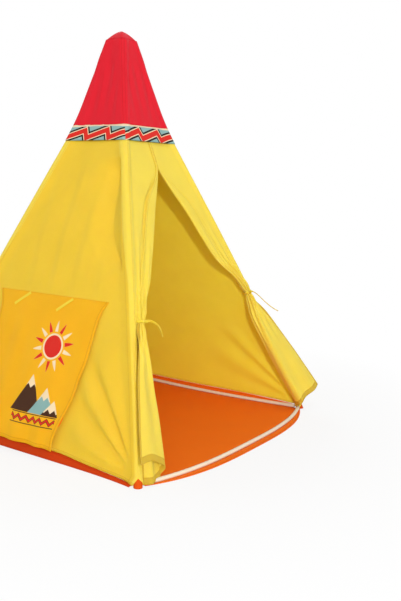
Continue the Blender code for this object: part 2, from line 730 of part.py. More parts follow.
def build_tie(hand):
    """The loop round a gathered door panel, beside its pole sleeve."""
    foot, up, inward, front = seam_frame(hand)
    skin = TIE_THICKNESS / 2.0
    aside = (inward * SEAM_INSET + front * WALL_OUT).normalized()
    reach = TIE_HALF_LONG + skin + GAP - SEAM_GAP - CLOTH / 2.0
    middle = seam_point(hand, TIE_HEIGHT[hand]) + aside * reach

    def band(u, v):
        turn = 2.0 * math.pi * u
        flat = inward * TIE_HALF_LONG * math.cos(turn) + front * TIE_HALF_DEEP * math.sin(turn)
        return middle + flat + up * TIE_WIDTH * (v - 0.5)

    cloth(f"door_tie_{hand}", band, TIE_STEPS, 1, "mustard_tape", TIE_THICKNESS, wrap=True)
    start = middle + front * (TIE_HALF_DEEP + skin + GAP + TAPE_THICKNESS / 2.0)
    path = [start + inward * a + front * b + up * c for a, b, c in TIE_TAIL_ROUTE[hand]]
    add_tape(f"door_tie_end_{hand}", path, up)


def build_band_and_cap():
    """The patterned band and the red cap, a panel on each side, and the crown on top."""
    for side in SIDE_SHARES:
        for name, low, high, colour, rows in (
            ("band", BAND_BOTTOM, CAP_BOTTOM, "cream_trim", 1),
            ("cap", CAP_BOTTOM + GAP, CROWN_BOTTOM, "red_cloth", 3),
        ):
            def surface(u, v, low=low, high=high, side=side):
                z = low + (high - low) * v
                out = pole_half(z) + BAND_OUT
                return place(side, (2.0 * u - 1.0) * (out - CLOTH / 2.0 - SEAM_GAP), out, z)
            cloth(f"{name}_{side}", surface, 2, rows, colour)

    half = pole_half(CROWN_BOTTOM) + BAND_OUT

    def crown(u, v):
        x = 2.0 * u - 1.0
        y = 2.0 * v - 1.0
        drop = max(abs(x), abs(y)) ** CROWN_POWER_SHARE
        rise = CROWN_RISE - CLOTH - GAP
        return Vector((x * half, y * half, CROWN_BOTTOM + CLOTH / 2.0 + GAP + rise * (1.0 - drop)))

    cloth("cap_crown", crown, 6, 6, "red_cloth")


def side_shares():
    """Even places along a side, from just clear of one corner to just clear of the next."""
    limit = 1.0 - CORNER_INSET / FOOT_HALF
    return [limit * (2.0 * step / WALL_COLUMNS - 1.0) for step in range(WALL_COLUMNS + 1)]


def build_floor():
    """Floor mat, the piping along its four seams and the border outside the piping."""
    seam = piping_reach(MAT_THICKNESS)
    bm = bmesh.new()
    outline = []
    for side in SIDE_SHARES:
        for share in side_shares():
            outline.append(place(side, share * FOOT_HALF, floor_edge(side, share, -seam), 0.0))
    lower = [bm.verts.new(point) for point in outline]
    upper = [bm.verts.new(point + Vector((0.0, 0.0, MAT_THICKNESS))) for point in outline]
    grid_faces(bm, [lower, upper], wrap=True)
    bm.faces.new(lower)
    bm.faces.new(upper)
    add_object("floor_mat", bm, "orange_cloth")

    for side in SIDE_SHARES:
        bm = bmesh.new()
        height = PIPING_RADIUS + GAP
        path = [place(side, s * FOOT_HALF, floor_edge(side, s), height) for s in side_shares()]
        add_rod(bm, path, Vector((0.0, 0.0, 1.0)), PIPING_RADIUS)
        add_object(f"floor_piping_{side}", bm, "cream_trim")
        cloth(f"floor_border_{side}", border_surface(side), WALL_COLUMNS, 3, "orange_cloth")


def piping_reach(thickness):
    """Distance from the piping's centre line at which a flat layer on the ground just clears it."""
    rise = PIPING_RADIUS + GAP - thickness
    return math.sqrt(PIPING_RADIUS ** 2 - rise ** 2) + GAP


def border_surface(side):
    """Border from the floor seam up to a wall's hem, or flat on the ground as the door sill."""
    limit = 1.0 - CORNER_INSET / FOOT_HALF
    start = piping_reach(CLOTH) if side == "front" else PIPING_RADIUS + GAP + CLOTH / 2.0

    def surface(u, v):
        across = 2.0 * u - 1.0
        along = across * limit * FOOT_HALF
        foot = floor_edge(side, across * limit, start)
        low = CLOTH / 2.0
        if side == "front":
            bulge = 1.0 - across ** SILL_POWER_SHARE
            width = SILL_CORNER_WIDTH + (SILL_WIDTH - SILL_CORNER_WIDTH) * bulge
            return place(side, along, foot + width * v, low)
        high = hem_height(side, across) - 2.0 * SEAM_GAP
        hem_along = across * (pole_half(high) - SEAM_INSET)
        hem_out = wall_out(side, hem_along, high)
        curl = v ** BORDER_CURL_SHARE
        z = low + (high - low) * v
        return place(side, along + (hem_along - along) * curl, foot + (hem_out - foot) * curl, z)

    return surface


build_poles()
build_hub()
build_sleeves()
build_walls()
build_window()
build_door()
build_band_and_cap()
build_floor()
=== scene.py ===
"""Looks of the kids' teepee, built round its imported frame.

Metres, +Z up. The origin is the middle of the floor's underside and the door faces -Y. Each cloth
piece is a surface over two shares, u across and v along, and carries two UV maps: Flat is the
place on the cloth in metres, and Edge the distance from its side edges and from its hem.
"""
import json
from math import atan, atan2, cos, degrees, hypot, pi, radians, sin, sqrt, tau

import bmesh
import bpy
from mathutils import Matrix, Vector, noise


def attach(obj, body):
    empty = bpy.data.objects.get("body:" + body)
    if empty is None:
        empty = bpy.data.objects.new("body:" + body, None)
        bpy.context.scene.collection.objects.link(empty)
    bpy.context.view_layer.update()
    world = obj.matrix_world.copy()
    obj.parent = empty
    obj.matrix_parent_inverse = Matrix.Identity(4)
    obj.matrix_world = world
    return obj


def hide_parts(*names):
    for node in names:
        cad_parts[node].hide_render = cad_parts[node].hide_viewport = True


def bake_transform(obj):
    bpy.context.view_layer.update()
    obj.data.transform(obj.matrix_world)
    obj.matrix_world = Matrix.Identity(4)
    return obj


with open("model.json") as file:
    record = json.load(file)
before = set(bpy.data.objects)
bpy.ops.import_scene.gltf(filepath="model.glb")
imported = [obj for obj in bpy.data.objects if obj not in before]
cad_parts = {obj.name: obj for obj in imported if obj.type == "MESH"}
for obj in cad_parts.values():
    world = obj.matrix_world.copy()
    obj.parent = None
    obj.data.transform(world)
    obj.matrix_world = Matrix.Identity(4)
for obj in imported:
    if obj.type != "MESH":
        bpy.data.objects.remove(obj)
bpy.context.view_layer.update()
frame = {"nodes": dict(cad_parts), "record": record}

# Camera: where it stands, its yaw, pitch and roll in degrees, and its lens on a 36 mm sensor
CAMERA_PLACE = (-2.0607, -1.7641, 0.8427)
CAMERA_TURNS = (55.570, -8.739, 1.295)
CAMERA_LENS = 45.477

# Tent shape, as in the frame: half width and lean of the pole lines at three heights
HEIGHT = 1.350
FOOT = (0.0, 0.490, -0.31)
WAIST = (0.979, 0.1239, -0.40)
NECK = (1.100, 0.0835, -0.27)
BAND_BOTTOM = WAIST[0]
CAP_BOTTOM = 1.030
CROWN_BOTTOM = 1.318
FOOT_HALF = FOOT[1]
GAP = 0.0003
SEAM_GAP = 0.0004
CLOTH = 0.0016
WALL_OUT = 0.006
BAND_OUT = 0.0137
SLEEVE_RADIUS = 0.012
SEAM_RADIUS = SLEEVE_RADIUS + SEAM_GAP + CLOTH / 2.0
SEAM_INSET = sqrt(SEAM_RADIUS ** 2 - WALL_OUT ** 2)
POCKET_HEIGHT = 0.030

# Hems, and how far the cloth and the floor bow along each side
HEM_HEIGHT = {
    "left": (
        (0.0, 0.032), (0.22, 0.031), (0.41, 0.029), (0.59, 0.022),
        (0.80, 0.015), (0.93, 0.010), (1.0, 0.006),
    ),
    "right": ((0.0, 0.027), (0.5, 0.026), (0.8, 0.019), (1.0, 0.009)),
    "back": ((0.0, 0.027), (0.5, 0.026), (0.8, 0.019), (1.0, 0.009)),
}
WALL_BOW_FOOT = {"front": 0.0, "left": 0.0, "right": 0.040, "back": 0.017}
WALL_BOW_TOP = 0.004
FLOOR_INSET = 0.0065
FLOOR_BOW = {"front": 0.0695, "left": 0.002, "right": -0.0425, "back": -0.020}
FLOOR_POWER = {"front": 3.0, "left": 2.0, "right": 2.0, "back": 2.0}
BORDER_FLARE = {"front": 0.0, "left": 0.014, "right": 0.0, "back": 0.0}
SILL_WIDTH = 0.028
SILL_CORNER_WIDTH = 0.004
PIPING_RADIUS = 0.0064
PIPING_STEPS = 110
PIPING_RIBS = 3.8
MAT_THICKNESS = 0.003
CORNER_INSET = 0.020
FLOOR_SHARE = 1.0 - CORNER_INSET / FOOT_HALF
FLOOR_WAVE = 0.0012
PIPING_SKIN = 0.0006

# Cloth over the pole sleeves: its radius, the width to the stitch line, and the notch at the foot
SKIN_RADIUS = 0.0129
SKIN_SPAN = {"front": 0.020, "left": 0.050, "right": 0.050, "back": 0.050}
SKIN_FLARE = 0.0028
FLARE_TOP = 0.060
NOTCH_HEIGHT = 0.027
NOTCH_SLOPE = 0.9
SLEEVE_TUBE = 0.0112
POCKET_RADIUS = 0.0124
COLUMN_EVENNESS = 0.15
SLEEVE_LAP = 0.030
SLEEVE_WRINKLE = 0.0005
POCKET_WRINKLE = 0.0003

# Band and cap: how far their flat middles and their rounded corners stand out
BAND_FLAT = 0.0100
BAND_LAYER = 0.0022
HUB_LAYER = 0.0048
HUB_HEIGHTS = (1.210, 1.262)
BAND_LAP = 0.002
BAND_ROUNDING = 0.03
CAP_LAP = 0.001
BAND_PUFF = 0.0008
CAP_PUFF = 0.0022

# Folds of the walls: slack, the drape below the band, the fan from a corner, the crescent by the pole
SLACK = 0.0030
WALL_PUCKER = 0.0008
PUCKER_SPAN = (0.004, 0.05)
SEAM_CALM = 0.006
DRAPE_PERIOD = 0.100
DRAPE_PHASE = 0.030
DRAPE_DEPTH = 0.0017
DRAPE_FOOT = (0.42, 0.56)
DRAPE_TOP = (0.84, 0.96)
FAN_FOCUS = (0.490, 0.020)
FAN_START = (0.04, 0.13)
FAN_END = (0.30, 0.46)
FAN_SIDE = (0.19, 0.27)
FAN_EASE = 0.03
FAN_HEIGHTS = (
    (0.0, 0.0), (8.0, 0.004), (17.0, 0.013), (28.0, -0.009), (39.0, 0.015), (45.0, -0.010), (52.0, 0.009),
    (62.0, 0.0),
)
CRESCENT_INNER = (
    (0.575, 0.027), (0.635, 0.025), (0.708, 0.022), (0.786, 0.017), (0.849, 0.013), (0.920, 0.009),
)
CRESCENT_OUTER = (
    (0.575, 0.030), (0.635, 0.066), (0.708, 0.075), (0.786, 0.061), (0.849, 0.041), (0.920, 0.014),
)
CRESCENT_SINK = 0.023
CRESCENT_REACH = 0.090
CRESCENT_OPENING = 0.020

# Door panels and the tails below their ties
APEX_HEIGHT = 0.892
TIE_HEIGHT = {"left": 0.430, "right": 0.455}
COVER_SHARE = 0.14
PLEAT_DEPTH = 0.0060
FINE_PLEAT_DEPTH = 0.0060
GATHER_INWARD = 0.0085
GATHER_FRONT = 0.0075
GATHER_RADIUS = 0.0115
GATHER_PLEATS = 4
GATHER_START = 0.004
GATHER_FLARE = 0.030
PANEL_SLACK = 0.0030
DOOR_SLIT = 0.0005
PANEL_GATHER = 0.115
TAIL_GATHER = 0.090
DOOR_EDGE = {
    "left": ((0.0, 0.885), (0.19, 0.744), (0.40, 0.610), (0.71, 0.362), (1.0, 0.0)),
    "right": ((0.0, 0.885), (0.15, 0.796), (0.28, 0.643), (0.47, 0.527), (0.69, 0.384), (1.0, 0.0)),
}
STRIP_WIDTH = 0.052
STRIP_LIFT = 0.0042
STRIP_START = 0.78
STRIP_SHARE = 0.62
STRIP_TAPER = (0.72, 1.0)
STRIP_VALLEY = 0.008
VALLEY_REACH = 0.016
VALLEY_FOOT = (0.45, 0.60)
VALLEY_TOP = (0.78, 0.94)
TAIL_FOOT = 0.020
TAIL_FOLD_REACH = {"left": (0.008, 0.030, 0.064), "right": (0.026, 0.052, 0.016)}
TAIL_FOLD_DEPTH = {"left": (0.012, 0.030, 0.044), "right": (0.014, 0.034, 0.038)}
TAIL_EDGE_REACH = {"left": (0.004, 0.048, 0.062), "right": (-0.012, 0.042, 0.090)}
TAIL_EDGE_DEPTH = {"left": (0.014, 0.045, 0.056), "right": (-0.004, 0.032, 0.064)}
TAIL_ROUND = {"left": 0.014, "right": 0.0}
TAIL_BELLY = {"left": 0.017, "right": 0.004}
TAIL_HEM = {
    "left": (
        (0.0, 0.005), (0.25, 0.006), (0.42, 0.014), (0.54, 0.030),
        (0.68, 0.058), (0.82, 0.080), (1.0, 0.084),
    ),
    "right": ((0.0, 0.020), (0.35, 0.018), (0.50, 0.022), (0.70, 0.050), (1.0, 0.090)),
}
TAIL_WAVE = 0.006
TAIL_PLEAT = 0.0036
TAIL_FLOW = 0.0030
TAIL_SLACK = 0.002
TAIL_BEND = (0.005, 0.14)
TAIL_SECTION = (
    (0.00, 0.00, 0.00, 0.0, 0.0),
    (0.30, 0.00, 0.00, 0.0, 0.6),
    (0.62, 0.00, 0.00, 0.0, -0.2),
    (0.92, 0.00, 0.10, 0.0, 0.0),
    (1.00, 0.00, 0.45, 0.0, 0.0),
    (0.84, 0.00, 0.92, 0.0, 0.0),
    (0.40, 0.25, 1.00, 0.0, 1.0),
    (0.10, 0.62, 0.00, 1.0, -0.6),
    (0.00, 1.00, 0.00, 1.0, 0.0),
)

# Ties and loose tapes, with the routes that the frame gives them
TIE_WIDTH = 0.010
TIE_THICKNESS = 0.0014
TIE_HALF = 0.0225
TAPE_WIDTH = 0.009
TAPE_THICKNESS = 0.0012
TIE_END_ROUTE = {
    "left": (
        (-0.010, 0.0000, 0.000), (0.000, 0.0004, 0.000), (0.009, 0.004, -0.002), (0.017, 0.008, -0.006),
        (0.024, 0.010, -0.011), (0.031, 0.011, -0.018), (0.037, 0.011, -0.026), (0.043, 0.009, -0.034),
        (0.048, 0.007, -0.042),
    ),
    "right": (
        (0.010, 0.0000, 0.000), (0.000, 0.0004, 0.000), (-0.003, 0.006, -0.007), (-0.006, 0.013, -0.020),
        (-0.009, 0.019, -0.037), (-0.013, 0.025, -0.056), (-0.017, 0.033, -0.075), (-0.021, 0.042, -0.092),
        (-0.025, 0.052, -0.106),
    ),
}
TIE_END_WIDE = {"left": (-0.45, -0.55, 0.70), "right": (-0.80, -0.50, 0.35)}
TAPE_CLEARANCE = 0.0014
KNOT_RADIUS = 0.0048
WINDOW_TAPES = {
    "window_tape_back": ((0.099, 0.005), (0.156, 0.045)),
    "window_tape_front": ((-0.093, 0.007), (-0.038, 0.047)),
}

# Window in the left wall, its binding and its flap
WINDOW_WIDTH = 0.300
WINDOW_HEIGHT = 0.330
WINDOW_MIDDLE = 0.265
WINDOW_CORNER = 0.030
WINDOW_CUT_REACH = 0.02
BINDING_WIDTH = 0.016
BINDING_THICKNESS = 0.0020
FLAP_TOP = 0.481
FLAP_SHOULDER = 0.400
FLAP_BOTTOM = 0.037
FLAP_TOP_HALF = 0.246
FLAP_SHOULDER_HALF = 0.216
FLAP_BOTTOM_HALF = 0.172
FLAP_EDGE = (
    (0.033, 0.167), (0.064, 0.162), (0.109, 0.170), (0.187, 0.197), (0.252, 0.205), (0.300, 0.214),
    (0.365, 0.217), (0.430, 0.219), (0.454, 0.226), (0.484, 0.242),
)
FLAP_STEP = 0.025
FLAP_SWELL = 0.012
FLAP_FOLD = 0.005
FLAP_SLACK = 0.0022
FLAP_CREASE = 0.0018
FLAP_CURL = 0.008
FLAP_LIFT = 0.0022
HINGE_DROP = 0.003

SIDES = {"front": (0.0, -1.0), "right": (1.0, 0.0), "back": (0.0, 1.0), "left": (-1.0, 0.0)}
CORNERS = {
    "front_left": (-1.0, -1.0),
    "front_right": (1.0, -1.0),
    "back_right": (1.0, 1.0),
    "back_left": (-1.0, 1.0),
}
HANDS = {"left": -1.0, "right": 1.0}

# Colours, linear
YELLOW = (0.82, 0.565, 0.046)
LEMON = (0.86, 0.67, 0.088)
# Right and back walls: a lighter, greener copy of the wall cloth, painted light for the inside of the tent
LIT_WALL_LEMON = (0.94, 0.71, 0.064)
PALE_YELLOW = (0.86, 0.66, 0.060)
FLAP_YELLOW = (0.87, 0.46, 0.014)
ORANGE = (0.98, 0.175, 0.010)
POCKET_ORANGE = (0.72, 0.085, 0.005)
# Darker copy of the border orange, painted shade on the left border
SHADED_ORANGE = (0.60, 0.050, 0.004)
RED = (0.72, 0.018, 0.032)
PRINT_RED = (0.70, 0.030, 0.020)
CREAM = (0.88, 0.78, 0.60)
PRINT_CREAM = (0.86, 0.70, 0.46)
INK = (0.022, 0.016, 0.014)
BROWN = (0.075, 0.030, 0.015)
TEAL = (0.27, 0.45, 0.43)
POLE_GREY = (0.10, 0.10, 0.11)
FERRULE_METAL = (0.60, 0.60, 0.62)
BLACK_PLASTIC = (0.03, 0.03, 0.032)


class Field:
    """A number that changes over a surface: a node socket that takes plain arithmetic."""

    def __init__(self, socket):
        self.socket = socket

    def using(self, operation, *others, clamp=False):
        """This number and others put through a Math node."""
        tree = self.socket.id_data
        node = tree.nodes.new("ShaderNodeMath")
        node.operation = operation
        node.use_clamp = clamp
        for entry, value in zip(node.inputs, (self, *others)):
            if isinstance(value, Field):
                tree.links.new(value.socket, entry)
            else:
                entry.default_value = value
        return Field(node.outputs[0])

    def __add__(self, other):
        return self.using("ADD", other)

    def __sub__(self, other):
        return self.using("SUBTRACT", other)

    def __mul__(self, other):
        return self.using("MULTIPLY", other)

    def __abs__(self):
        return self.using("ABSOLUTE")

    def least(self, other):
        return self.using("MINIMUM", other)

    def most(self, other):
        return self.using("MAXIMUM", other)

    def wrapped(self, period):
        """The remainder after whole periods, from 0 to period."""
        return self.using("FLOORED_MODULO", period)

    def below(self, limit, soft=0.0004):
        """1 where this is under limit and 0 where it is over, with a soft step."""
        return ((self - limit) * (-1.0 / soft) + 0.5).using("ADD", 0.0, clamp=True)


def new_node(tree, kind, **inputs):
    """A node with its named inputs set to numbers or joined to fields and sockets."""
    node = tree.nodes.new(kind)
    for name, value in inputs.items():
        entry = node.inputs[name.replace("_", " ")]
        if isinstance(value, Field):
            tree.links.new(value.socket, entry)
        elif isinstance(value, bpy.types.NodeSocket):
            tree.links.new(value, entry)
        else:
            entry.default_value = value
    return node


def painted(tree, base, mask, colour):
    """The base with colour laid over it where mask is 1. Both are sockets or plain colours."""
    node = tree.nodes.new("ShaderNodeMix")
    node.data_type = "RGBA"
    tree.links.new(mask.socket, node.inputs[0])
    for entry, tone in ((node.inputs[6], base), (node.inputs[7], colour)):
        if isinstance(tone, bpy.types.NodeSocket):
            tree.links.new(tone, entry)
        else:
            entry.default_value = (*tone, 1.0)
    return node.outputs[2]


def shaded(colour, share):
    """The colour made darker or lighter."""
    return tuple(min(1.0, c * share) for c in colour)


def seam_and_shade_tone(colour, share):
    """The colour darker, and warmer as it darkens: the tone of stitching and of a hem band of double cloth,
    and painted shade where that band is darkened strongly.
    """
    return tuple(c * share ** power for c, power in zip(colour, (1.0, 1.6, 2.5)))


def uv_fields(tree, name):
    """The two numbers of a UV map, in metres, and the map itself."""
    source = tree.nodes.new("ShaderNodeUVMap")
    source.uv_map = name
    parts = new_node(tree, "ShaderNodeSeparateXYZ", Vector=source.outputs[0])
    return Field(parts.outputs[0]), Field(parts.outputs[1]), source.outputs[0]


def noise_field(tree, place, scale, detail=2.0, roughness=0.5):
    """Smooth noise over a place, about 0.5."""
    node = new_node(tree, "ShaderNodeTexNoise", Vector=place, Scale=scale, Detail=detail,
                    Roughness=roughness)
    return Field(node.outputs[0])


def new_material(name, colour):
    """A material, its node tree and its main shader."""
    made = bpy.data.materials.new(name)
    made.use_nodes = True
    made.diffuse_color = (*colour, 1.0)
    return made, made.node_tree, made.node_tree.nodes["Principled BSDF"]


WEAVE_PITCH = 0.0009
WEAVE_DEPTH = 0.00006
CREASE_DEPTH = 0.0016
STITCH_LENGTH = 0.0034
STITCH_PITCH = 0.0046
STITCH_WIDTH = 0.0009
THREAD_PLACE = 0.86
THREAD_SINK = 0.0003
DOUBLE_EDGE = 0.0012
DOUBLE_HEIGHT = 0.0006
PUCKER_REACH = 0.006
PUCKER_FADE = 0.020
PUCKER_HEIGHT = 0.0009
CLOTH_SHINE = {"Specular IOR Level": 0.06, "Sheen Weight": 0.02, "Sheen Roughness": 0.4}
SCATTER_LENGTH = 0.0012
THIN_SCATTER_LENGTH = 0.0040


def woven(name, colour, hem=0.0, seam=0.0, pattern=None, double_and_shade=0.2, roughness=0.52, glow=1.0, crease=1.0,
          scatter=SCATTER_LENGTH):
    """Plain-woven cloth that lets light through, with a double-layered hem and stitched seams where it has
    them. A strong darkening of the hem band is painted shade.
    """
    made, tree, shader = new_material(name, colour)
    across, along, place = uv_fields(tree, "Flat")
    from_side, from_hem, _ = uv_fields(tree, "Edge")

    cloudy = noise_field(tree, place, 9.0, 3.0)
    tone = painted(tree, shaded(colour, 0.93), cloudy, shaded(colour, 1.06))
    flecks = noise_field(tree, place, 420.0, 1.0).below(0.40, 0.2)
    tone = painted(tree, tone, flecks * 0.35, shaded(colour, 0.86))
    if pattern:
        tone = pattern(tree, tone, across, along)
    height = noise_field(tree, place, 14.0, 3.0, 0.45) * (CREASE_DEPTH * crease)
    height = height + noise_field(tree, place, 60.0, 2.0) * (CREASE_DEPTH * 0.18 * crease)
    for width, distance, run in ((hem, from_hem, across), (seam, from_side, along)):
        if width:
            double = distance.below(width, DOUBLE_EDGE)
            dashes = abs(run.wrapped(STITCH_PITCH) - STITCH_PITCH / 2.0).below(STITCH_LENGTH / 2.0)
            thread = abs(distance - width * THREAD_PLACE).below(STITCH_WIDTH / 2.0) * dashes
            # Hem and seam bands darkened and warmed: double cloth at a light share, painted shade at a
            # strong one, as on the tails
            tone = painted(tree, tone, double * double_and_shade, seam_and_shade_tone(colour, 0.72))
            tone = painted(tree, tone, thread, seam_and_shade_tone(colour, 0.66))
            height = height + double * DOUBLE_HEIGHT - thread * THREAD_SINK
            streaks = new_node(tree, "ShaderNodeCombineXYZ", X=run * 110.0, Y=distance * 25.0)
            pucker = noise_field(tree, streaks.outputs[0], 1.0, 1.0)
            height = height + pucker * distance.below(width + PUCKER_REACH, PUCKER_FADE) * PUCKER_HEIGHT
    weft = (across * (tau / WEAVE_PITCH)).using("SINE")
    warp = (along * (tau / WEAVE_PITCH)).using("SINE")
    weave = new_node(tree, "ShaderNodeBump", Height=weft * warp * WEAVE_DEPTH, Strength=0.55, Distance=1.0)
    folds = new_node(tree, "ShaderNodeBump", Height=height, Strength=0.8, Distance=1.0,
                     Normal=weave.outputs[0])
    tree.links.new(tone, shader.inputs["Base Color"])
    tree.links.new(folds.outputs[0], shader.inputs["Normal"])
    tree.links.new((cloudy * 0.12 + (roughness - 0.06)).socket, shader.inputs["Roughness"])
    light = {"Sheen Tint": (*colour, 1.0), "Subsurface Weight": glow, "Subsurface Radius": (1.0, 1.0, 1.0),
             "Subsurface Scale": scatter}
    for entry, value in {**CLOTH_SHINE, **light}.items():
        shader.inputs[entry].default_value = value
    return made


def moulded(name, colour, roughness, metallic=0.0):
    """Rigid material with fine scuffs, for the pieces inside the cloth."""
    made, tree, shader = new_material(name, colour)
    place = tree.nodes.new("ShaderNodeTexCoord").outputs["Object"]
    scuffs = noise_field(tree, place, 260.0, 4.0, 0.6)
    tone = painted(tree, shaded(colour, 0.85), scuffs, shaded(colour, 1.15))
    bump = new_node(tree, "ShaderNodeBump", Height=scuffs * 0.0001, Strength=0.4, Distance=1.0)
    tree.links.new(tone, shader.inputs["Base Color"])
    tree.links.new((scuffs * 0.2 + (roughness - 0.1)).socket, shader.inputs["Roughness"])
    tree.links.new(bump.outputs[0], shader.inputs["Normal"])
    shader.inputs["Metallic"].default_value = metallic
    return made


ZIGZAG_PERIOD = 0.1000
ZIGZAG_RISE = 0.88
ZIGZAG_PLACE = 0.047
ZIGZAG_LOW = 0.0087
ZIGZAG_HIGH = 0.0363
ZIGZAG_RED = 0.0088
ZIGZAG_CREAM = 0.0118
ZIGZAG_INK = 0.0182
BAND_EDGE = 0.0028


def zigzag_band(tree, tone, across, along):
    """Traditional zigzag border: a red line edged in cream and black over pale teal."""
    steep = ZIGZAG_PERIOD * (1.0 - ZIGZAG_RISE)
    climb = ZIGZAG_HIGH - ZIGZAG_LOW
    rise_slope = climb / (ZIGZAG_PERIOD - steep)
    fall_slope = climb / steep
    run = (across + (ZIGZAG_PLACE - steep / 2.0)).wrapped(ZIGZAG_PERIOD)
    distance = None
    for shift in (-ZIGZAG_PERIOD, 0.0, ZIGZAG_PERIOD):
        left = along - ZIGZAG_LOW - (run - shift) * rise_slope
        right = along - ZIGZAG_LOW - (run - (shift + ZIGZAG_PERIOD)) * -fall_slope
        tent = (left * cos(atan(rise_slope))).most(right * cos(atan(fall_slope)))
        distance = tent if distance is None else distance.least(tent)
    distance = abs(distance)
    for width, colour in ((ZIGZAG_INK, INK), (ZIGZAG_CREAM, PRINT_CREAM), (ZIGZAG_RED, PRINT_RED)):
        tone = painted(tree, tone, distance.below(width), colour)
    from_top = along * -1.0 + (CAP_BOTTOM - BAND_BOTTOM) * hypot(1.0, NECK[2])
    return painted(tree, tone, from_top.below(BAND_EDGE), PRINT_CREAM)


# Lemon strip over the pole on the left wall: the sleeve cloth's tone, and painted highlight on the pole's
# round
POLE_STRIP_SHINE_HEIGHTS = (0.600, 0.740)
POLE_STRIP_SHINE_WIDTHS = (0.010, 0.026)
POLE_STRIP_SHINE_FADE = 0.004


def lemon_strip_and_highlight(tree, tone, _, along):
    """Lemon strip over the pole, from a wall's side edge to its seam: the sleeve cloth's tone, with painted
    highlight where the pole's round catches the light. It runs wider above the tie.
    """
    from_side = uv_fields(tree, "Edge")[0]
    low, high = POLE_STRIP_SHINE_HEIGHTS
    rise = ((along - low) * (1.0 / (high - low))).using("ADD", 0.0, clamp=True)
    width = rise * (POLE_STRIP_SHINE_WIDTHS[1] - POLE_STRIP_SHINE_WIDTHS[0]) + POLE_STRIP_SHINE_WIDTHS[0]
    return painted(tree, tone, (from_side - width).below(0.0, POLE_STRIP_SHINE_FADE), LEMON)


PRINT_MIDDLE = 0.0635
PRINT_HALF = 0.094
SUN_HEIGHT = 0.305
SUN_RADIUS = 0.036
SUN_RING = 0.006
RAY_LENGTH = 0.036
RAY_COUNT = 14
PEAKS = ((-0.046, 0.208, 1.95), (0.024, 0.176, 1.65), (0.064, 0.140, 1.50))
PEAK_COLOURS = (BROWN, TEAL, BROWN)
SNOW_DEPTH = 0.030
SNOW_TEETH = 0.024
PLAIN_HEIGHT = 0.088
FRIEZE_HEIGHT = 0.068
FRIEZE_PERIOD = 0.030
FRIEZE_RISE = 0.9
FRIEZE_DROP = 0.007
FRIEZE_INK = 0.0060
FRIEZE_RED = 0.0036
RULE_PLACE = 0.0165
RULE_WIDTH = 0.0014


def mountain_print(tree, tone, across, along):
    """Plain printed scene of the flap: a sun with rays over snowy peaks and a zigzag frieze."""
    x = across - PRINT_MIDDLE
    y = along * -1.0 + flap_length()
    sun_y = y - SUN_HEIGHT
    reach = (x * x + sun_y * sun_y).using("POWER", 0.5)
    turn = sun_y.using("ARCTAN2", x) * (RAY_COUNT / tau)
    wedge = abs(turn.wrapped(1.0) - 0.5)
    out = (reach - (SUN_RADIUS + SUN_RING * 2.0)) * (1.0 / RAY_LENGTH)
    ray = wedge.below((out * -1.0 + 1.0) * 0.30, 0.03) * out.below(1.0, 0.02) * (out * -1.0).below(0.0, 0.02)
    other_ray = (turn * 0.5).wrapped(1.0).below(0.5, 0.01)
    tone = painted(tree, tone, ray, PRINT_CREAM)
    tone = painted(tree, tone, ray * other_ray, PRINT_RED)
    tone = painted(tree, tone, reach.below(SUN_RADIUS + SUN_RING), PRINT_CREAM)
    tone = painted(tree, tone, reach.below(SUN_RADIUS), PRINT_RED)
    ground = (y * -1.0).below(-PLAIN_HEIGHT)
    for (peak_x, peak_y, slope), colour in zip(PEAKS, PEAK_COLOURS):
        under = (y - peak_y + abs(x - peak_x) * slope).below(0.0)
        jagged = abs((x - peak_x).wrapped(SNOW_TEETH) - SNOW_TEETH / 2.0) * 1.1
        snow = (y * -1.0 - jagged).below(SNOW_DEPTH - peak_y)
        tone = painted(tree, tone, under * ground, colour)
        tone = painted(tree, tone, under * snow, PRINT_CREAM)
    teeth = abs(x.wrapped(FRIEZE_PERIOD) - FRIEZE_PERIOD / 2.0) * FRIEZE_RISE
    frieze = abs(y - FRIEZE_HEIGHT - teeth + FRIEZE_DROP)
    inside = abs(x).below(PRINT_HALF)
    tone = painted(tree, tone, frieze.below(FRIEZE_INK) * inside, INK)
    tone = painted(tree, tone, frieze.below(FRIEZE_RED) * inside, PRINT_RED)
    rule = abs(abs(y - FRIEZE_HEIGHT) - RULE_PLACE).below(RULE_WIDTH)
    return painted(tree, tone, rule * inside, BROWN)


def eased(t):
    """A share from 0 to 1 with both its ends levelled out."""
    return t * t * (3.0 - 2.0 * t)


def hermite(z, low, high):
    """Smooth value at z between two (place, value, slope) knots."""
    (z0, value0, slope0), (z1, value1, slope1) = low, high
    span = z1 - z0
    t = (z - z0) / span
    rise = span * (slope0 * t * (1.0 - t) ** 2 - slope1 * t * t * (1.0 - t))
    return value0 + (value1 - value0) * eased(t) + rise


def smooth(value, low, high):
    """0 below low and 1 above high, with an eased step between them."""
    return eased(min(1.0, max(0.0, (value - low) / (high - low))))


def table_curve(table, place):
    """Smooth curve through a table of (place, value) pairs."""
    place = min(max(place, table[0][0]), table[-1][0])
    slopes = []
    for index in range(len(table)):
        (x0, y0), (x1, y1) = table[max(index - 1, 0)], table[min(index + 1, len(table) - 1)]
        slopes.append((y1 - y0) / (x1 - x0))
    for index in range(len(table) - 1):
        if place <= table[index + 1][0]:
            return hermite(place, (*table[index], slopes[index]), (*table[index + 1], slopes[index + 1]))


def pole_half(z):
    """Distance of the pole lines from the tent's middle planes at height z."""
    if z < WAIST[0]:
        return hermite(z, FOOT, WAIST)
    if z < NECK[0]:
        return hermite(z, WAIST, NECK)
    return NECK[1] + NECK[2] * (z - NECK[0])


def place(side, along, out, z):
    """A point given by its place along a side, its distance out from the middle and its height."""
    nx, ny = SIDES[side]
    return Vector((nx * out - ny * along, ny * out + nx * along, z))


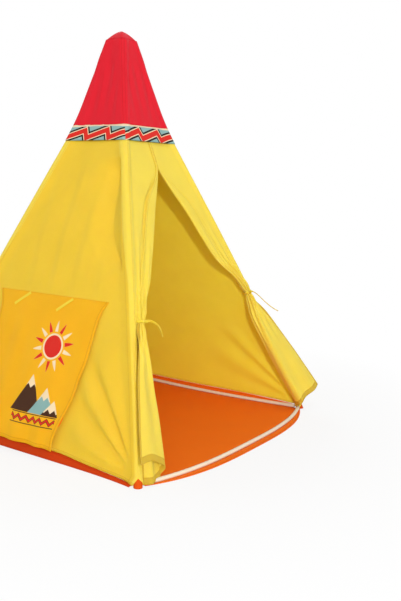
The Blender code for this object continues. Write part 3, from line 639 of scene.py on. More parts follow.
def corner_point(corner, z, out=0.0):
    """A point on a corner's pole line, or further out along the corner."""
    half = pole_half(z) + out / sqrt(2.0)
    return Vector((CORNERS[corner][0] * half, CORNERS[corner][1] * half, z))


def wall_out(side, along, z, extra=0.0):
    """Distance out of a wall's middle surface, with its bow, plus a layer on top of it."""
    reach = pole_half(z) - SEAM_INSET
    across = min(1.0, abs(along) / reach)
    fade = max(0.0, 1.0 - z / BAND_BOTTOM) ** 2
    bow = WALL_BOW_TOP + (WALL_BOW_FOOT[side] - WALL_BOW_TOP) * fade
    return pole_half(z) + WALL_OUT - bow * (1.0 - across ** 2) + extra


def layer_out(z, layer):
    """Level distance that stands a layer off the leaning wall at height z."""
    lean = (pole_half(z) - pole_half(z + GAP)) / GAP
    return layer * sqrt(1.0 + lean ** 2)


def off_left_wall(y, z, layer):
    """The point at y and height z that stands a layer off the left wall."""
    return place("left", -y, wall_out("left", -y, z, layer_out(z, layer)), z)


def skin_radius(z, layer=0.0):
    """Radius of the cloth over a pole sleeve, which widens over the pocket at its foot."""
    return SKIN_RADIUS + layer + SKIN_FLARE * (1.0 - smooth(z, POCKET_HEIGHT, FLARE_TOP))


def skin_out(side, depth, z, layer=0.0, flat=WALL_OUT):
    """How far cloth stands out of the plane of the pole lines, by its level distance in from one."""
    radius = skin_radius(z, layer)
    if depth < 0.0:
        return sqrt(radius ** 2 - depth ** 2)
    return radius + (flat - radius) * smooth(depth, 0.0, SKIN_SPAN[side])


def skin_half(z, layer=0.0):
    """Distance along a side from its middle to where its cloth meets the next side's over the pole."""
    wrap = skin_radius(z, layer) / sqrt(2.0)
    return pole_half(z) + wrap - NOTCH_SLOPE * max(0.0, NOTCH_HEIGHT - z)


def spread(u):
    """Share across a side from -1 to 1, with more columns towards both ends."""
    t = 2.0 * u - 1.0
    return COLUMN_EVENNESS * t + (1.0 - COLUMN_EVENNESS) * sin(pi / 2.0 * t)


def hem_height(side, share):
    """Height of a wall's hem, which rises towards the middle of its side."""
    return table_curve(HEM_HEIGHT[side], abs(share))


def floor_edge(side, share, shift=0.0):
    """Distance out of the floor's seam along a side, by share from the middle to a corner."""
    return FOOT_HALF - FLOOR_INSET + FLOOR_BOW[side] * (1.0 - abs(share) ** FLOOR_POWER[side]) + shift


def ripple(x, y, scale, seed):
    """Smooth noise between about -1 and 1 at a place on a cloth."""
    return noise.noise(Vector((x * scale, y * scale, seed)))


def folded(surface, depth, sign=1.0):
    """The surface moved along its own normal by depth(u, v)."""
    step = 0.004

    def moved(u, v):
        across = surface(min(u + step, 1.0), v) - surface(max(u - step, 0.0), v)
        along = surface(u, min(v + step, 1.0)) - surface(u, max(v - step, 0.0))
        return surface(u, v) + across.cross(along).normalized() * depth(u, v) * sign

    return moved


def flat_sizes(rows, wrap):
    """Running lengths along every row and column of a grid of points."""
    across = []
    for row in rows:
        lengths = [0.0]
        for start, end in zip(row, row[1:] + (row[:1] if wrap else [])):
            lengths.append(lengths[-1] + (end - start).length)
        across.append(lengths)
    along = [[0.0] * len(rows[0])]
    for low, high in zip(rows, rows[1:]):
        along.append([run + (b - a).length for run, a, b in zip(along[-1], low, high)])
    return across, along


def cloth_mesh(name, rows, wrap, hem_end):
    """Mesh of a grid of points, with the Flat and Edge UV maps."""
    mesh = bpy.data.meshes.new(name)
    count = len(rows[0])
    points = [point for row in rows for point in row]
    faces, places = [], []
    for r in range(len(rows) - 1):
        for c in range(count if wrap else count - 1):
            after = (c + 1) % count
            faces.append((r * count + c, r * count + after, (r + 1) * count + after, (r + 1) * count + c))
            places.append(((r, c), (r, c + 1), (r + 1, c + 1), (r + 1, c)))
    mesh.from_pydata(points, [], faces)
    across, along = flat_sizes(rows, wrap)
    flat, edge = mesh.uv_layers.new(name="Flat"), mesh.uv_layers.new(name="Edge")
    loop = 0
    for corners in places:
        for r, c in corners:
            width, run = across[r][-1], across[r][c]
            length, rise = along[-1][c % count], along[r][c % count]
            flat.data[loop].uv = (run - width / 2.0, rise)
            edge.data[loop].uv = (min(run, width - run), rise if hem_end == "start" else length - rise)
            loop += 1
    sizes = (max(row[-1] for row in across), max(along[-1]))
    return mesh, sizes


def linked(name, data):
    """A new object in the scene."""
    made = bpy.data.objects.new(name, data)
    bpy.context.scene.collection.objects.link(made)
    return made


def applied(piece):
    """The piece with its modifiers made part of its mesh."""
    graph = bpy.context.evaluated_depsgraph_get()
    mesh = bpy.data.meshes.new_from_object(piece.evaluated_get(graph))
    piece.modifiers.clear()
    piece.data = mesh
    return piece


def add_piece(name, mesh, finish, body, nodes):
    """Link a mesh as a piece that rides on a body and stands for CAD nodes."""
    piece = linked(name, mesh)
    mesh.materials.append(finish)
    mesh.shade_smooth()
    if body:
        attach(piece, body)
    if nodes:
        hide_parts(*nodes)
    return piece


def cloth_piece(name, surface, grid, finish, body, nodes, slot, held="stretched", thickness=CLOTH,
                wrap=False, hem_end="start", flat_area=True, cutter=None):
    """A sheet of cloth of even thickness over surface(u, v)."""
    columns, lines = grid
    steps = columns if wrap else columns + 1
    rows = [[surface(c / columns, r / lines) for c in range(steps)] for r in range(lines + 1)]
    mesh, (width, length) = cloth_mesh(name, rows, wrap, hem_end)
    area = sum(face.area for face in mesh.polygons)
    piece = add_piece(name, mesh, finish, body, nodes)
    solidify = piece.modifiers.new("Thickness", "SOLIDIFY")
    solidify.thickness = thickness
    solidify.offset = 0.0
    if cutter:
        cut = piece.modifiers.new("Opening", "BOOLEAN")
        cut.object = cutter
        cut.operation = "DIFFERENCE"
    applied(piece)
    if flat_area:
        min(area, width * length)
    return piece


def dress(node, surface, grid, finish, slot, body="tent", **how):
    """The cloth piece that stands for one node of the frame."""
    return cloth_piece(f"{node}_visual", surface, grid, finish, body, [node], slot, **how)


def add_camera():
    """The camera at the photograph's place and angle."""
    yaw, pitch, roll = (radians(turn) for turn in CAMERA_TURNS)
    forward = Vector((sin(yaw) * cos(pitch), cos(yaw) * cos(pitch), sin(pitch)))
    level = Vector((cos(yaw), -sin(yaw), 0.0))
    upright = level.cross(forward)
    right = level * cos(roll) + upright * sin(roll)
    up = upright * cos(roll) - level * sin(roll)
    data = bpy.data.cameras.new("camera")
    data.lens = CAMERA_LENS
    camera = linked("camera", data)
    turned = Matrix((right, up, -forward)).transposed().to_4x4()
    camera.matrix_world = Matrix.Translation(CAMERA_PLACE) @ turned
    bpy.context.scene.camera = camera


def seam_point(hand, z):
    """Where a front panel leaves its pole sleeve, at height z."""
    half = pole_half(z)
    return Vector((HANDS[hand] * (half - SEAM_INSET), -half - WALL_OUT, z))


def seam_frame(hand):
    """Directions at a door seam: up the seam, in to the door, out to the front."""
    up = (seam_point(hand, TIE_HEIGHT[hand]) - seam_point(hand, TAIL_FOOT)).normalized()
    inward = Vector((-HANDS[hand], 0.0, 0.0))
    inward = (inward - up * inward.dot(up)).normalized()
    front = Vector((0.0, -1.0, 0.0))
    front = (front - up * front.dot(up) - inward * front.dot(inward)).normalized()
    return up, inward, front


def tie_middle(hand):
    """Middle of the loop round a gathered door panel."""
    _, inward, front = seam_frame(hand)
    aside = (inward * SEAM_INSET + front * WALL_OUT).normalized()
    reach = TIE_HALF + TIE_THICKNESS / 2.0 + GAP - SEAM_GAP - CLOTH / 2.0
    return seam_point(hand, TIE_HEIGHT[hand]) + aside * reach


def tangents(points):
    """Unit directions along a polyline, one for each point."""
    spans = [points[min(i + 1, len(points) - 1)] - points[max(i - 1, 0)] for i in range(len(points))]
    return [span.normalized() for span in spans]


def curve_point(points, index, t):
    """The point at share t from one point of a list to the next, on a Catmull-Rom curve."""
    p0, p1, p2 = points[max(index - 1, 0)], points[index], points[index + 1]
    p3 = points[min(index + 2, len(points) - 1)]
    curve = p0 * 2.0 - p1 * 5.0 + p2 * 4.0 - p3 + ((p1 - p2) * 3.0 + p3 - p0) * t
    return p1 + (p2 - p0 + curve * t) * (0.5 * t)


def smooth_path(points, steps):
    """More points on a smooth curve through the given ones."""
    spans = range(len(points) - 1)
    made = [curve_point(points, span, step / steps) for span in spans for step in range(steps)]
    return made + [points[-1]]


def add_tape(node, route, wide, body, finish):
    """A flat woven tape along a route."""
    path = smooth_path(route, 4)
    rows = []
    for centre, along in zip(path, tangents(path)):
        across = (wide - along * wide.dot(along)).normalized() * TAPE_WIDTH / 2.0
        thick = along.cross(across).normalized() * TAPE_THICKNESS / 2.0
        rows.append([
            centre + across + thick, centre - across + thick,
            centre - across - thick, centre + across - thick,
        ])
    mesh, _ = cloth_mesh(f"{node}_visual", rows, True, "end")
    last = len(rows) * 4 - 4
    shell = bmesh.new()
    shell.from_mesh(mesh)
    shell.verts.ensure_lookup_table()
    shell.faces.new([shell.verts[i] for i in (0, 1, 2, 3)])
    shell.faces.new([shell.verts[last + i] for i in (3, 2, 1, 0)])
    bmesh.ops.recalc_face_normals(shell, faces=shell.faces)
    shell.to_mesh(mesh)
    shell.free()
    piece = add_piece(f"{node}_visual", mesh, finish, body, [node])
    mesh.set_sharp_from_angle(angle=radians(40))
    length = sum((b - a).length for a, b in zip(path, path[1:]))
    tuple(path[0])
    return piece


def add_tapes(finish):
    """The loose ends of the two ties, their knots, and the two tapes on the window flap."""
    for hand in HANDS:
        up, inward, front = seam_frame(hand)
        start = tie_middle(hand) + front * (TIE_HALF + TIE_THICKNESS / 2.0 + GAP + TAPE_THICKNESS / 2.0)
        route = [start + inward * a + front * b + up * c for a, b, c in TIE_END_ROUTE[hand]]
        add_tape(f"door_tie_end_{hand}", route, Vector(TIE_END_WIDE[hand]), "tent", finish)
        cloth_piece(f"door_tie_knot_{hand}", knot_surface(hand, start), (20, 14), finish, "tent", [],
                    "mustard_tape", thickness=TAPE_THICKNESS / 2.0, wrap=True, flat_area=False)
    for node, (start, end) in WINDOW_TAPES.items():
        route = []
        for step in range(8):
            y, drop = Vector(start).lerp(Vector(end), step / 7.0)
            z = FLAP_TOP - drop
            lift = flap_layer(z, y) + CLOTH / 2.0 + TAPE_CLEARANCE + TAPE_THICKNESS / 2.0
            route.append(off_left_wall(y, z, lift))
        run = (route[-1] - route[0]).normalized()
        wide = run.cross(Vector((-1.0, 0.0, -WAIST[2]))).normalized()
        add_tape(node, route, wide, "window_flap", finish)


def flap_length():
    """Length of the window flap along its fall."""
    lean = (pole_half(FLAP_BOTTOM) - pole_half(FLAP_TOP)) / (FLAP_TOP - FLAP_BOTTOM)
    return (FLAP_TOP - FLAP_BOTTOM) * sqrt(1.0 + lean ** 2)


def flap_half(z):
    """Half width of the window flap at height z."""
    if z > FLAP_SHOULDER:
        share = (z - FLAP_SHOULDER) / (FLAP_TOP - FLAP_SHOULDER)
        return FLAP_SHOULDER_HALF + (FLAP_TOP_HALF - FLAP_SHOULDER_HALF) * share ** 2
    share = (z - FLAP_BOTTOM) / (FLAP_SHOULDER - FLAP_BOTTOM)
    return FLAP_BOTTOM_HALF + (FLAP_SHOULDER_HALF - FLAP_BOTTOM_HALF) * share


def flap_layer(z, y):
    """Distance of the flap's middle surface from the wall's, with its shallow folds."""
    step = min(1.0, max(0.0, FLAP_TOP - HINGE_DROP - z) / FLAP_STEP)
    rest = CLOTH + SEAM_GAP + (BINDING_THICKNESS + SEAM_GAP) * step
    fall = (FLAP_TOP - z) / (FLAP_TOP - FLAP_BOTTOM)
    across = y / FLAP_TOP_HALF
    swell = FLAP_SWELL * (1.0 - across ** 2) * (1.0 - (1.0 - fall) ** 3)
    folds = FLAP_FOLD * fall * (1.0 + cos(5.0 * pi * across)) / 2.0
    return rest + swell + folds


def flap_surface(u, v):
    """Surface of the window flap, from its sewn top edge down."""
    z = FLAP_TOP - HINGE_DROP - (FLAP_TOP - HINGE_DROP - FLAP_BOTTOM) * v
    near, far = table_curve(FLAP_EDGE, z), flap_half(z)
    y = far - (near + far) * u
    slack = FLAP_SLACK * ripple(y, z, 11.0, 3.0) + FLAP_CREASE * ripple(y * 3.0, z * 0.6, 9.0, 5.0)
    slack *= smooth(v, 0.03, 0.35)
    curl = FLAP_CURL * smooth(v, 0.55, 1.0) * smooth(u, 0.86, 1.0)
    return off_left_wall(y, z, flap_layer(z, y) + FLAP_LIFT * smooth(v, 0.03, 0.2) + slack + curl)


def window_outline(grow):
    """Points round the window, grown outwards, as (y, z) about its centre."""
    corner = WINDOW_CORNER + grow
    straight = Vector((WINDOW_WIDTH / 2.0 - WINDOW_CORNER, WINDOW_HEIGHT / 2.0 - WINDOW_CORNER))
    points = []
    for quarter, (sy, sz) in enumerate(((1, -1), (1, 1), (-1, 1), (-1, -1))):
        middle = Vector((sy * straight.x, sz * straight.y))
        for step in range(9):
            turn = pi / 2.0 * (quarter - 1 + step / 8.0)
            points.append(middle + corner * Vector((cos(turn), sin(turn))))
        last = points[-1]
        upright, level = Vector((0.0, 2.0 * sy * straight.y)), Vector((-2.0 * sz * straight.x, 0.0))
        run = level if quarter % 2 else upright
        points += [last + run * step / 12.0 for step in range(1, 12)]
    return points


def window_cutter():
    """A prism the shape of the window, to cut the wall with."""
    cutter = bmesh.new()
    rows = []
    for x in (-FOOT_HALF - WINDOW_CUT_REACH, 0.0):
        rows.append([cutter.verts.new((x, y, WINDOW_MIDDLE + z)) for y, z in window_outline(0.0)])
    for a, b, c, d in zip(rows[0], rows[0][1:] + rows[0][:1], rows[1][1:] + rows[1][:1], rows[1]):
        cutter.faces.new((a, b, c, d))
    cutter.faces.new(rows[0])
    cutter.faces.new(rows[1])
    bmesh.ops.recalc_face_normals(cutter, faces=cutter.faces)
    mesh = bpy.data.meshes.new("window_cutter")
    cutter.to_mesh(mesh)
    cutter.free()
    return linked("window_cutter", mesh)


def crescent(depth, z):
    """The lens-shaped fold beside the pole, by level distance in from the pole line."""
    inner, outer = table_curve(CRESCENT_INNER, z), table_curve(CRESCENT_OUTER, z)
    sink = CRESCENT_SINK * smooth(outer - inner, 0.0, CRESCENT_OPENING)
    if depth < outer:
        return -sink * min(1.0, max(0.0, (depth - inner) / (outer - inner)))
    return -sink * (1.0 - smooth(depth - outer, 0.0, CRESCENT_REACH))


def fan(along, z, strength):
    """Tension folds that spread over a wall from its foot by a pole."""
    across, rise = FAN_FOCUS[0] - along, z - FAN_FOCUS[1]
    distance = hypot(across, rise)
    spread_out = smooth(distance, *FAN_START) * (1.0 - smooth(distance, *FAN_END))
    if strength * spread_out == 0.0:
        return 0.0
    return table_curve(FAN_HEIGHTS, degrees(atan2(rise, across))) * spread_out * strength


def drape(along, z):
    """Soft upright folds that fall steeply on one flank, between the band and the middle of a wall."""
    turn = tau * (along + DRAPE_PHASE + 0.012 * ripple(along, z, 4.0, 6.0)) / DRAPE_PERIOD
    window = smooth(z, *DRAPE_FOOT) * (1.0 - smooth(z, *DRAPE_TOP))
    return DRAPE_DEPTH * window * (sin(turn) + 0.5 * sin(2.0 * turn))


def wall_folds(side, along, z):
    """How far a wall's cloth stands out at a place, from its slack, its seams and its tension folds."""
    reach = pole_half(z) - SEAM_INSET
    inside = max(0.0, 1.0 - (along / reach) ** 2)
    from_seam = max(0.0, reach - abs(along))
    slack = SLACK * ripple(along, z, 5.0, len(side)) * inside
    pucker = WALL_PUCKER * ripple(z, from_seam * 0.3, 38.0, 2.0) * (1.0 - smooth(from_seam, *PUCKER_SPAN))
    folds = slack + pucker * smooth(from_seam, 0.0, SEAM_CALM)
    if side != "left":
        return folds + (fan(along, z, 0.3) + fan(-along, z, 0.3)) * smooth(inside, 0.0, 0.2)
    folds += drape(along, z) * inside + fan(-along, z, 0.6) * smooth(inside, 0.0, 0.2)
    folds += fan(along, z, 0.1 + 0.9 * smooth(along, *FAN_SIDE)) * smooth(from_seam, 0.0, FAN_EASE)
    if CRESCENT_INNER[0][0] < z < CRESCENT_INNER[-1][0]:
        folds += crescent(pole_half(z) - along, z)
    return folds


def wall_surface(side):
    """Surface of a side wall from hem to band, over the sleeves at both ends, with its folds."""
    def surface(u, v):
        across = spread(u)
        hem = hem_height(side, across)
        z = hem + (BAND_BOTTOM + BAND_LAP - hem) * v
        along = across * skin_half(z)
        stands = skin_out(side, pole_half(z) - abs(along), z) - WALL_OUT
        return place(side, along, wall_out(side, along, z, stands + wall_folds(side, along, z)), z)
    return surface


def gather_middle(hand, z):
    """Middle of the bunched cloth beside a pole, at height z."""
    _, inward, front = seam_frame(hand)
    return seam_point(hand, z) + inward * GATHER_INWARD + front * GATHER_FRONT


def panel_surface(hand):
    """Surface of a front panel from its gathered end up to the band, with its edge turned back."""
    up, inward, front = seam_frame(hand)
    tie = TIE_HEIGHT[hand]
    low = tie - TIE_WIDTH * up.z * 0.5
    top = BAND_BOTTOM + BAND_LAP

    def front_point(along, z, stands):
        return Vector((HANDS[hand] * along, -wall_out("front", along, z, stands), z))

    def over_sleeve(u, z):
        depth = SEAM_INSET - (SEAM_INSET + skin_radius(z) / sqrt(2.0)) * (1.0 - u / COVER_SHARE)
        return front_point(pole_half(z) - depth, z, skin_out("front", depth, z) - WALL_OUT)

    def bunched(share, z, lift):
        radius = GATHER_RADIUS * (1.0 + 0.5 * smooth(z - tie, GATHER_START, GATHER_FLARE))
        reach = -cos(pi * share) * radius
        deep = sin(pi * share) * cos(tau * GATHER_PLEATS * share) * radius
        return gather_middle(hand, z) + inward * reach + front * (deep + lift)

    def surface(u, v):
        z = low + (top - low) * v ** 1.5
        if u < COVER_SHARE:
            return over_sleeve(u, z)
        half = pole_half(z)
        rise = (z - tie) / (APEX_HEIGHT - tie)
        outer = half - SEAM_INSET
        inner = max(DOOR_SLIT, half * table_curve(DOOR_EDGE[hand], rise)) if rise < 1.0 else DOOR_SLIT
        width = outer - inner
        strip = min(STRIP_WIDTH, width * STRIP_SHARE) * (1.0 - smooth(rise, *STRIP_TAPER) * 0.85)
        if u < STRIP_START:
            share, lift = (u - COVER_SHARE) / (STRIP_START - COVER_SHARE), 0.0
        else:
            back = (u - STRIP_START) / (1.0 - STRIP_START)
            share, lift = 1.0 - back * strip / width, STRIP_LIFT * smooth(back, 0.0, 0.12)
        along = outer - width * share
        fade = (top - z) / (top - low)
        ends = smooth(share, 0.0, 0.12)
        pleats = PLEAT_DEPTH * sin(3.0 * pi * share) * fade ** 3
        pleats += FINE_PLEAT_DEPTH * cos(tau * GATHER_PLEATS * share) * ends * fade ** 4
        slack = PANEL_SLACK * ripple(along, z, 6.0, 7.0 + HANDS[hand]) * sin(pi * share)
        beside = abs(share - 1.0 + strip / width) * width
        valley = STRIP_VALLEY * (1.0 - smooth(beside, 0.0, VALLEY_REACH))
        shown = smooth(rise, *VALLEY_FOOT) * (1.0 - smooth(rise, *VALLEY_TOP))
        valley *= shown if u < STRIP_START else 0.0
        stands = skin_out("front", half - along, z) - WALL_OUT + pleats + slack + lift - valley
        point = front_point(along, z, stands)
        gather = 1.0 - smooth(z - tie, GATHER_START, PANEL_GATHER)
        if gather == 0.0:
            return point
        level = point + up * (seam_point(hand, z) - point).dot(up) * gather
        return level.lerp(bunched(share, z, lift), gather)

    return surface


def blend(values, share):
    """Smooth value along an even list of three values, by share of the way."""
    start, middle, end = values
    bend = 2.0 * (2.0 * middle - 0.5 * (start + end)) - (start + end)
    return start + (end - start) * share + share * (1.0 - share) * bend


def tail_surface(hand):
    """Surface of a door tail: folded cloth that hangs from the tie and wraps out past the pole."""
    foot = seam_point(hand, TAIL_FOOT)
    up, inward, front = seam_frame(hand)
    tie = (seam_point(hand, TIE_HEIGHT[hand]) - foot).length
    top = tie - TIE_WIDTH * 0.4

    def bunched(u, drop):
        turn = tau * u
        star = 0.72 + 0.28 * cos(2.0 * turn * GATHER_PLEATS)
        radius = GATHER_RADIUS * star * (1.0 + 0.5 * smooth(drop, GATHER_START, GATHER_FLARE))
        return GATHER_INWARD - cos(turn) * radius, GATHER_FRONT - sin(turn) * radius

    def surface(u, v):
        ease = v ** 0.7
        fold, depth = blend(TAIL_FOLD_REACH[hand], ease), blend(TAIL_FOLD_DEPTH[hand], ease)
        edge, edge_depth = blend(TAIL_EDGE_REACH[hand], ease), blend(TAIL_EDGE_DEPTH[hand], ease)
        wave = TAIL_WAVE * ease
        section = [
            Vector((fold * a - edge * b, depth * c + edge_depth * d + wave * e))
            for a, b, c, d, e in TAIL_SECTION
        ]
        rounding = TAIL_ROUND[hand] * sin(pi * v)
        section[1].y += rounding
        section[2].y += rounding * 0.5
        spans = len(section) - 1
        index = min(int(u * spans), spans - 1)
        reach, deep = curve_point(section, index, u * spans - index)
        deep += TAIL_BELLY[hand] * ease ** 3 * sin(pi * min(1.0, u / 0.45))
        low = (table_curve(TAIL_HEM[hand], u) - foot.z - reach * inward.z - deep * front.z) / up.z
        drop = (top - low) * v
        gather = 1.0 - smooth(drop, GATHER_START, TAIL_GATHER)
        if gather:
            tight, forward = bunched(u, drop)
            reach += (tight - reach) * gather
            deep += (forward - deep) * gather
        return foot + up * (top - drop) + inward * reach + front * deep

    def depth(u, v):
        gathered = (1.0 - smooth(v, 0.10, 0.55)) * smooth(v, 0.04, 0.16) * TAIL_PLEAT
        flowing = TAIL_FLOW * smooth(v, 0.10, 0.35) * (1.0 - 0.5 * smooth(v, 0.7, 1.0))
        ends = smooth(u, 0.0, 0.08)
        fine = gathered * cos(4.0 * pi * GATHER_PLEATS * u)
        broad = flowing * sin(tau * (3.4 * u + 0.25 * v) + 1.0)
        slack = TAIL_SLACK * ripple(u * 0.3, v * 0.4, 9.0, 11.0) * smooth(v, 0.05, 0.2)
        return ends * (fine + broad + slack)

    return folded(surface, depth, -HANDS[hand])


def ring(first, second, turn):
    """Direction at an angle from the first of two square directions to the second."""
    return first * cos(turn) + second * sin(turn)


def tie_surface(hand):
    """The tape loop drawn tight round a gathered panel."""
    up, inward, front = seam_frame(hand)
    middle = gather_middle(hand, TIE_HEIGHT[hand])
    radius = GATHER_RADIUS + CLOTH / 2.0 + GAP + TIE_THICKNESS / 2.0

    def surface(u, v):
        turn = tau * u
        drawn = 1.0 - 0.06 * (0.5 + 0.5 * cos(turn * 5.0))
        flat = ring(inward, front, turn) * radius * drawn
        return middle + flat + up * TIE_WIDTH * (v - 0.5) * (0.8 + 0.15 * sin(turn * 3.0))

    return surface


def knot_surface(hand, start):
    """The small knot between a tie's loop and its loose end."""
    up = seam_frame(hand)[0]
    middle = gather_middle(hand, TIE_HEIGHT[hand])
    axis = start - middle
    second = axis.cross(up).normalized()

    def surface(u, v):
        turn = tau * u
        radius = KNOT_RADIUS * (0.30 + 0.70 * sin(pi * v) ** 0.6)
        radius *= 1.0 + 0.10 * sin(3.0 * turn + 9.0 * v)
        return middle + axis * (0.34 + 0.70 * v) + ring(up, second, turn) * radius

    return surface


def round_pole(corner, radius, low, high, wrinkle):
    """Surface of a cloth tube round a pole; the radius and the low rim go by height and by turn."""
    across = Vector((*CORNERS[corner], 0.0)).normalized()
    second = Vector((0.0, 0.0, 1.0)).cross(across)

    def surface(u, v):
        turn = tau * u
        rim = low(min(turn, tau - turn))
        z = rim + (high - rim) * v
        rough = ripple(cos(turn) * 0.06 + z, sin(turn) * 0.06 + z * 0.2, 22.0, 4.0)
        return corner_point(corner, z) + ring(across, second, turn) * (radius(z) + wrinkle * rough)

    return surface


def sleeve_radius(z):
    """Radius of a pole sleeve, under the cloth of the sides."""
    return SLEEVE_TUBE + skin_radius(z) - SKIN_RADIUS


def sleeve_rim(turn):
    """Height of a sleeve's low rim, with its notch on the outer side of the pole."""
    return max(0.004, NOTCH_HEIGHT - NOTCH_SLOPE * turn * SKIN_RADIUS)


def band_side(side, low, high, puff):
    """Surface of one side of the band or the cap, rounded over the poles."""
    def surface(u, v):
        z = low + (high - low) * v
        near_hub = smooth(z, *HUB_HEIGHTS)
        layer = BAND_LAYER + (HUB_LAYER - BAND_LAYER) * near_hub
        along = spread(u) * (pole_half(z) + skin_radius(z, layer) / sqrt(2.0))
        depth = pole_half(z) - abs(along)
        out = pole_half(z) + skin_out(side, depth, z, layer, BAND_FLAT + (BAND_OUT - BAND_FLAT) * near_hub)
        inside = smooth(depth, 0.0, BAND_ROUNDING) * (1.0 - near_hub)
        folds = puff * inside * (0.35 + ripple(along * 2.2, z * 0.35, 16.0, len(side)))
        folds += 0.7 * puff * inside * sin(along * 150.0 + len(side)) * smooth(z, low, low + 0.1)
        return place(side, along, out + folds, z)
    return surface


def crown_surface(u, v):
    """Surface of the low crown over the hub."""
    half = pole_half(CROWN_BOTTOM) + BAND_OUT
    x, y = 2.0 * u - 1.0, 2.0 * v - 1.0
    edge = max(abs(x), abs(y), 0.001)
    half *= edge / (abs(x) ** 8.0 + abs(y) ** 8.0 + 1e-12) ** 0.125
    drop = edge ** 1.5
    rise = HEIGHT - CROWN_BOTTOM - CLOTH - GAP
    return Vector((x * half, y * half, CROWN_BOTTOM + CLOTH / 2.0 + GAP + rise * (1.0 - drop)))


def beside_piping(thickness):
    """Level distance from the piping's middle to the edge of cloth that lies flat beside it."""
    return sqrt(PIPING_RADIUS ** 2 - (PIPING_RADIUS + GAP - thickness) ** 2) + GAP


def border_surface(side):
    """Border from the floor seam up to a wall's hem, or flat on the ground as the door sill."""
    start = beside_piping(CLOTH) if side == "front" else PIPING_RADIUS + GAP + CLOTH / 2.0

    def surface(u, v):
        across = 2.0 * u - 1.0
        along = across * FLOOR_SHARE * FOOT_HALF
        flare = BORDER_FLARE[side] * max(0.0, across) ** 5
        foot = floor_edge(side, across * FLOOR_SHARE, start) + flare
        if side == "front":
            width = SILL_CORNER_WIDTH + (SILL_WIDTH - SILL_CORNER_WIDTH) * (1.0 - across ** 4)
            sag = FLOOR_WAVE * (1.0 + ripple(along, v * 0.1, 14.0, 1.0)) * sin(pi * v)
            return place(side, along, foot + width * v, CLOTH / 2.0 + sag)
        high = hem_height(side, across) - 2.0 * SEAM_GAP
        hem_along = across * (pole_half(high) - SEAM_INSET)
        hem_out = wall_out(side, hem_along, high)
        curl = v ** 4
        z = CLOTH / 2.0 + (high - CLOTH / 2.0) * v
        return place(side, along + (hem_along - along) * curl, foot + (hem_out - foot) * curl, z)

    return surface


def mat_surface(u, v):
    """Surface of the floor mat inside its piping."""
    seam = beside_piping(MAT_THICKNESS)
    x_share, y_share = 2.0 * u - 1.0, 2.0 * v - 1.0
    x_edge = floor_edge("right" if x_share > 0.0 else "left", y_share * FLOOR_SHARE, -seam)
    y_edge = floor_edge("back" if y_share > 0.0 else "front", x_share * FLOOR_SHARE, -seam)
    wave = (FLOOR_WAVE * (1.0 + ripple(x_share, y_share, 2.6, 8.0)) * (1.0 - x_share ** 4)
            * (1.0 - y_share ** 4))
    return Vector((x_share * x_edge, y_share * y_edge, MAT_THICKNESS / 2.0 + wave))


def tube_surface(path, radius):
    """Surface of cord-filled piping along a level path, faintly ribbed."""
    last = len(path) - 1
    directions = tangents(path)

    def surface(u, v):
        index = round(v * last)
        first = directions[index].cross(Vector((0.0, 0.0, 1.0))).normalized()
        second = first.cross(directions[index])
        turn = tau * u
        ribbed = radius * (0.97 + 0.03 * sin(index * PIPING_RIBS + turn))
        return path[index] + ring(first, second, turn) * ribbed

    return surface


def add_piping(finish):
    """The cord-filled piping along the four sides of the floor."""
    for side in SIDES:
        shares = [FLOOR_SHARE * (2.0 * step / PIPING_STEPS - 1.0) for step in range(PIPING_STEPS + 1)]
        path = [place(side, s * FOOT_HALF, floor_edge(side, s), PIPING_RADIUS + GAP) for s in shares]
        dress(f"floor_piping_{side}", tube_surface(path, PIPING_RADIUS), (14, PIPING_STEPS), finish,
              "cream_trim", wrap=True, thickness=PIPING_SKIN, flat_area=False)


def window_binding(u, v):
    """Surface of the binding round the window, on the outer face of the wall."""
    outline = window_outline(BINDING_WIDTH * v)
    y, rise = outline[round(u * len(outline)) % len(outline)]
    z = WINDOW_MIDDLE + rise
    layer = CLOTH / 2.0 + SEAM_GAP + BINDING_THICKNESS / 2.0
    return off_left_wall(y, z, layer + wall_folds("left", -y, z))


def build_walls(finishes):
    """The three walls and the binding of the window, which is cut in the left one."""
    for side in ("left", "right", "back"):
        cutter = window_cutter() if side == "left" else None
        finish = finishes["left" if side == "left" else "lit_wall"]
        dress(f"wall_{side}", wall_surface(side), (130, 120), finish, "yellow_cloth", cutter=cutter)
        if cutter:
            bpy.data.objects.remove(cutter, do_unlink=True)
    dress("window_binding", window_binding, (len(window_outline(0.0)), 4), finishes["orange"],
          "orange_cloth", thickness=BINDING_THICKNESS, wrap=True, flat_area=False)


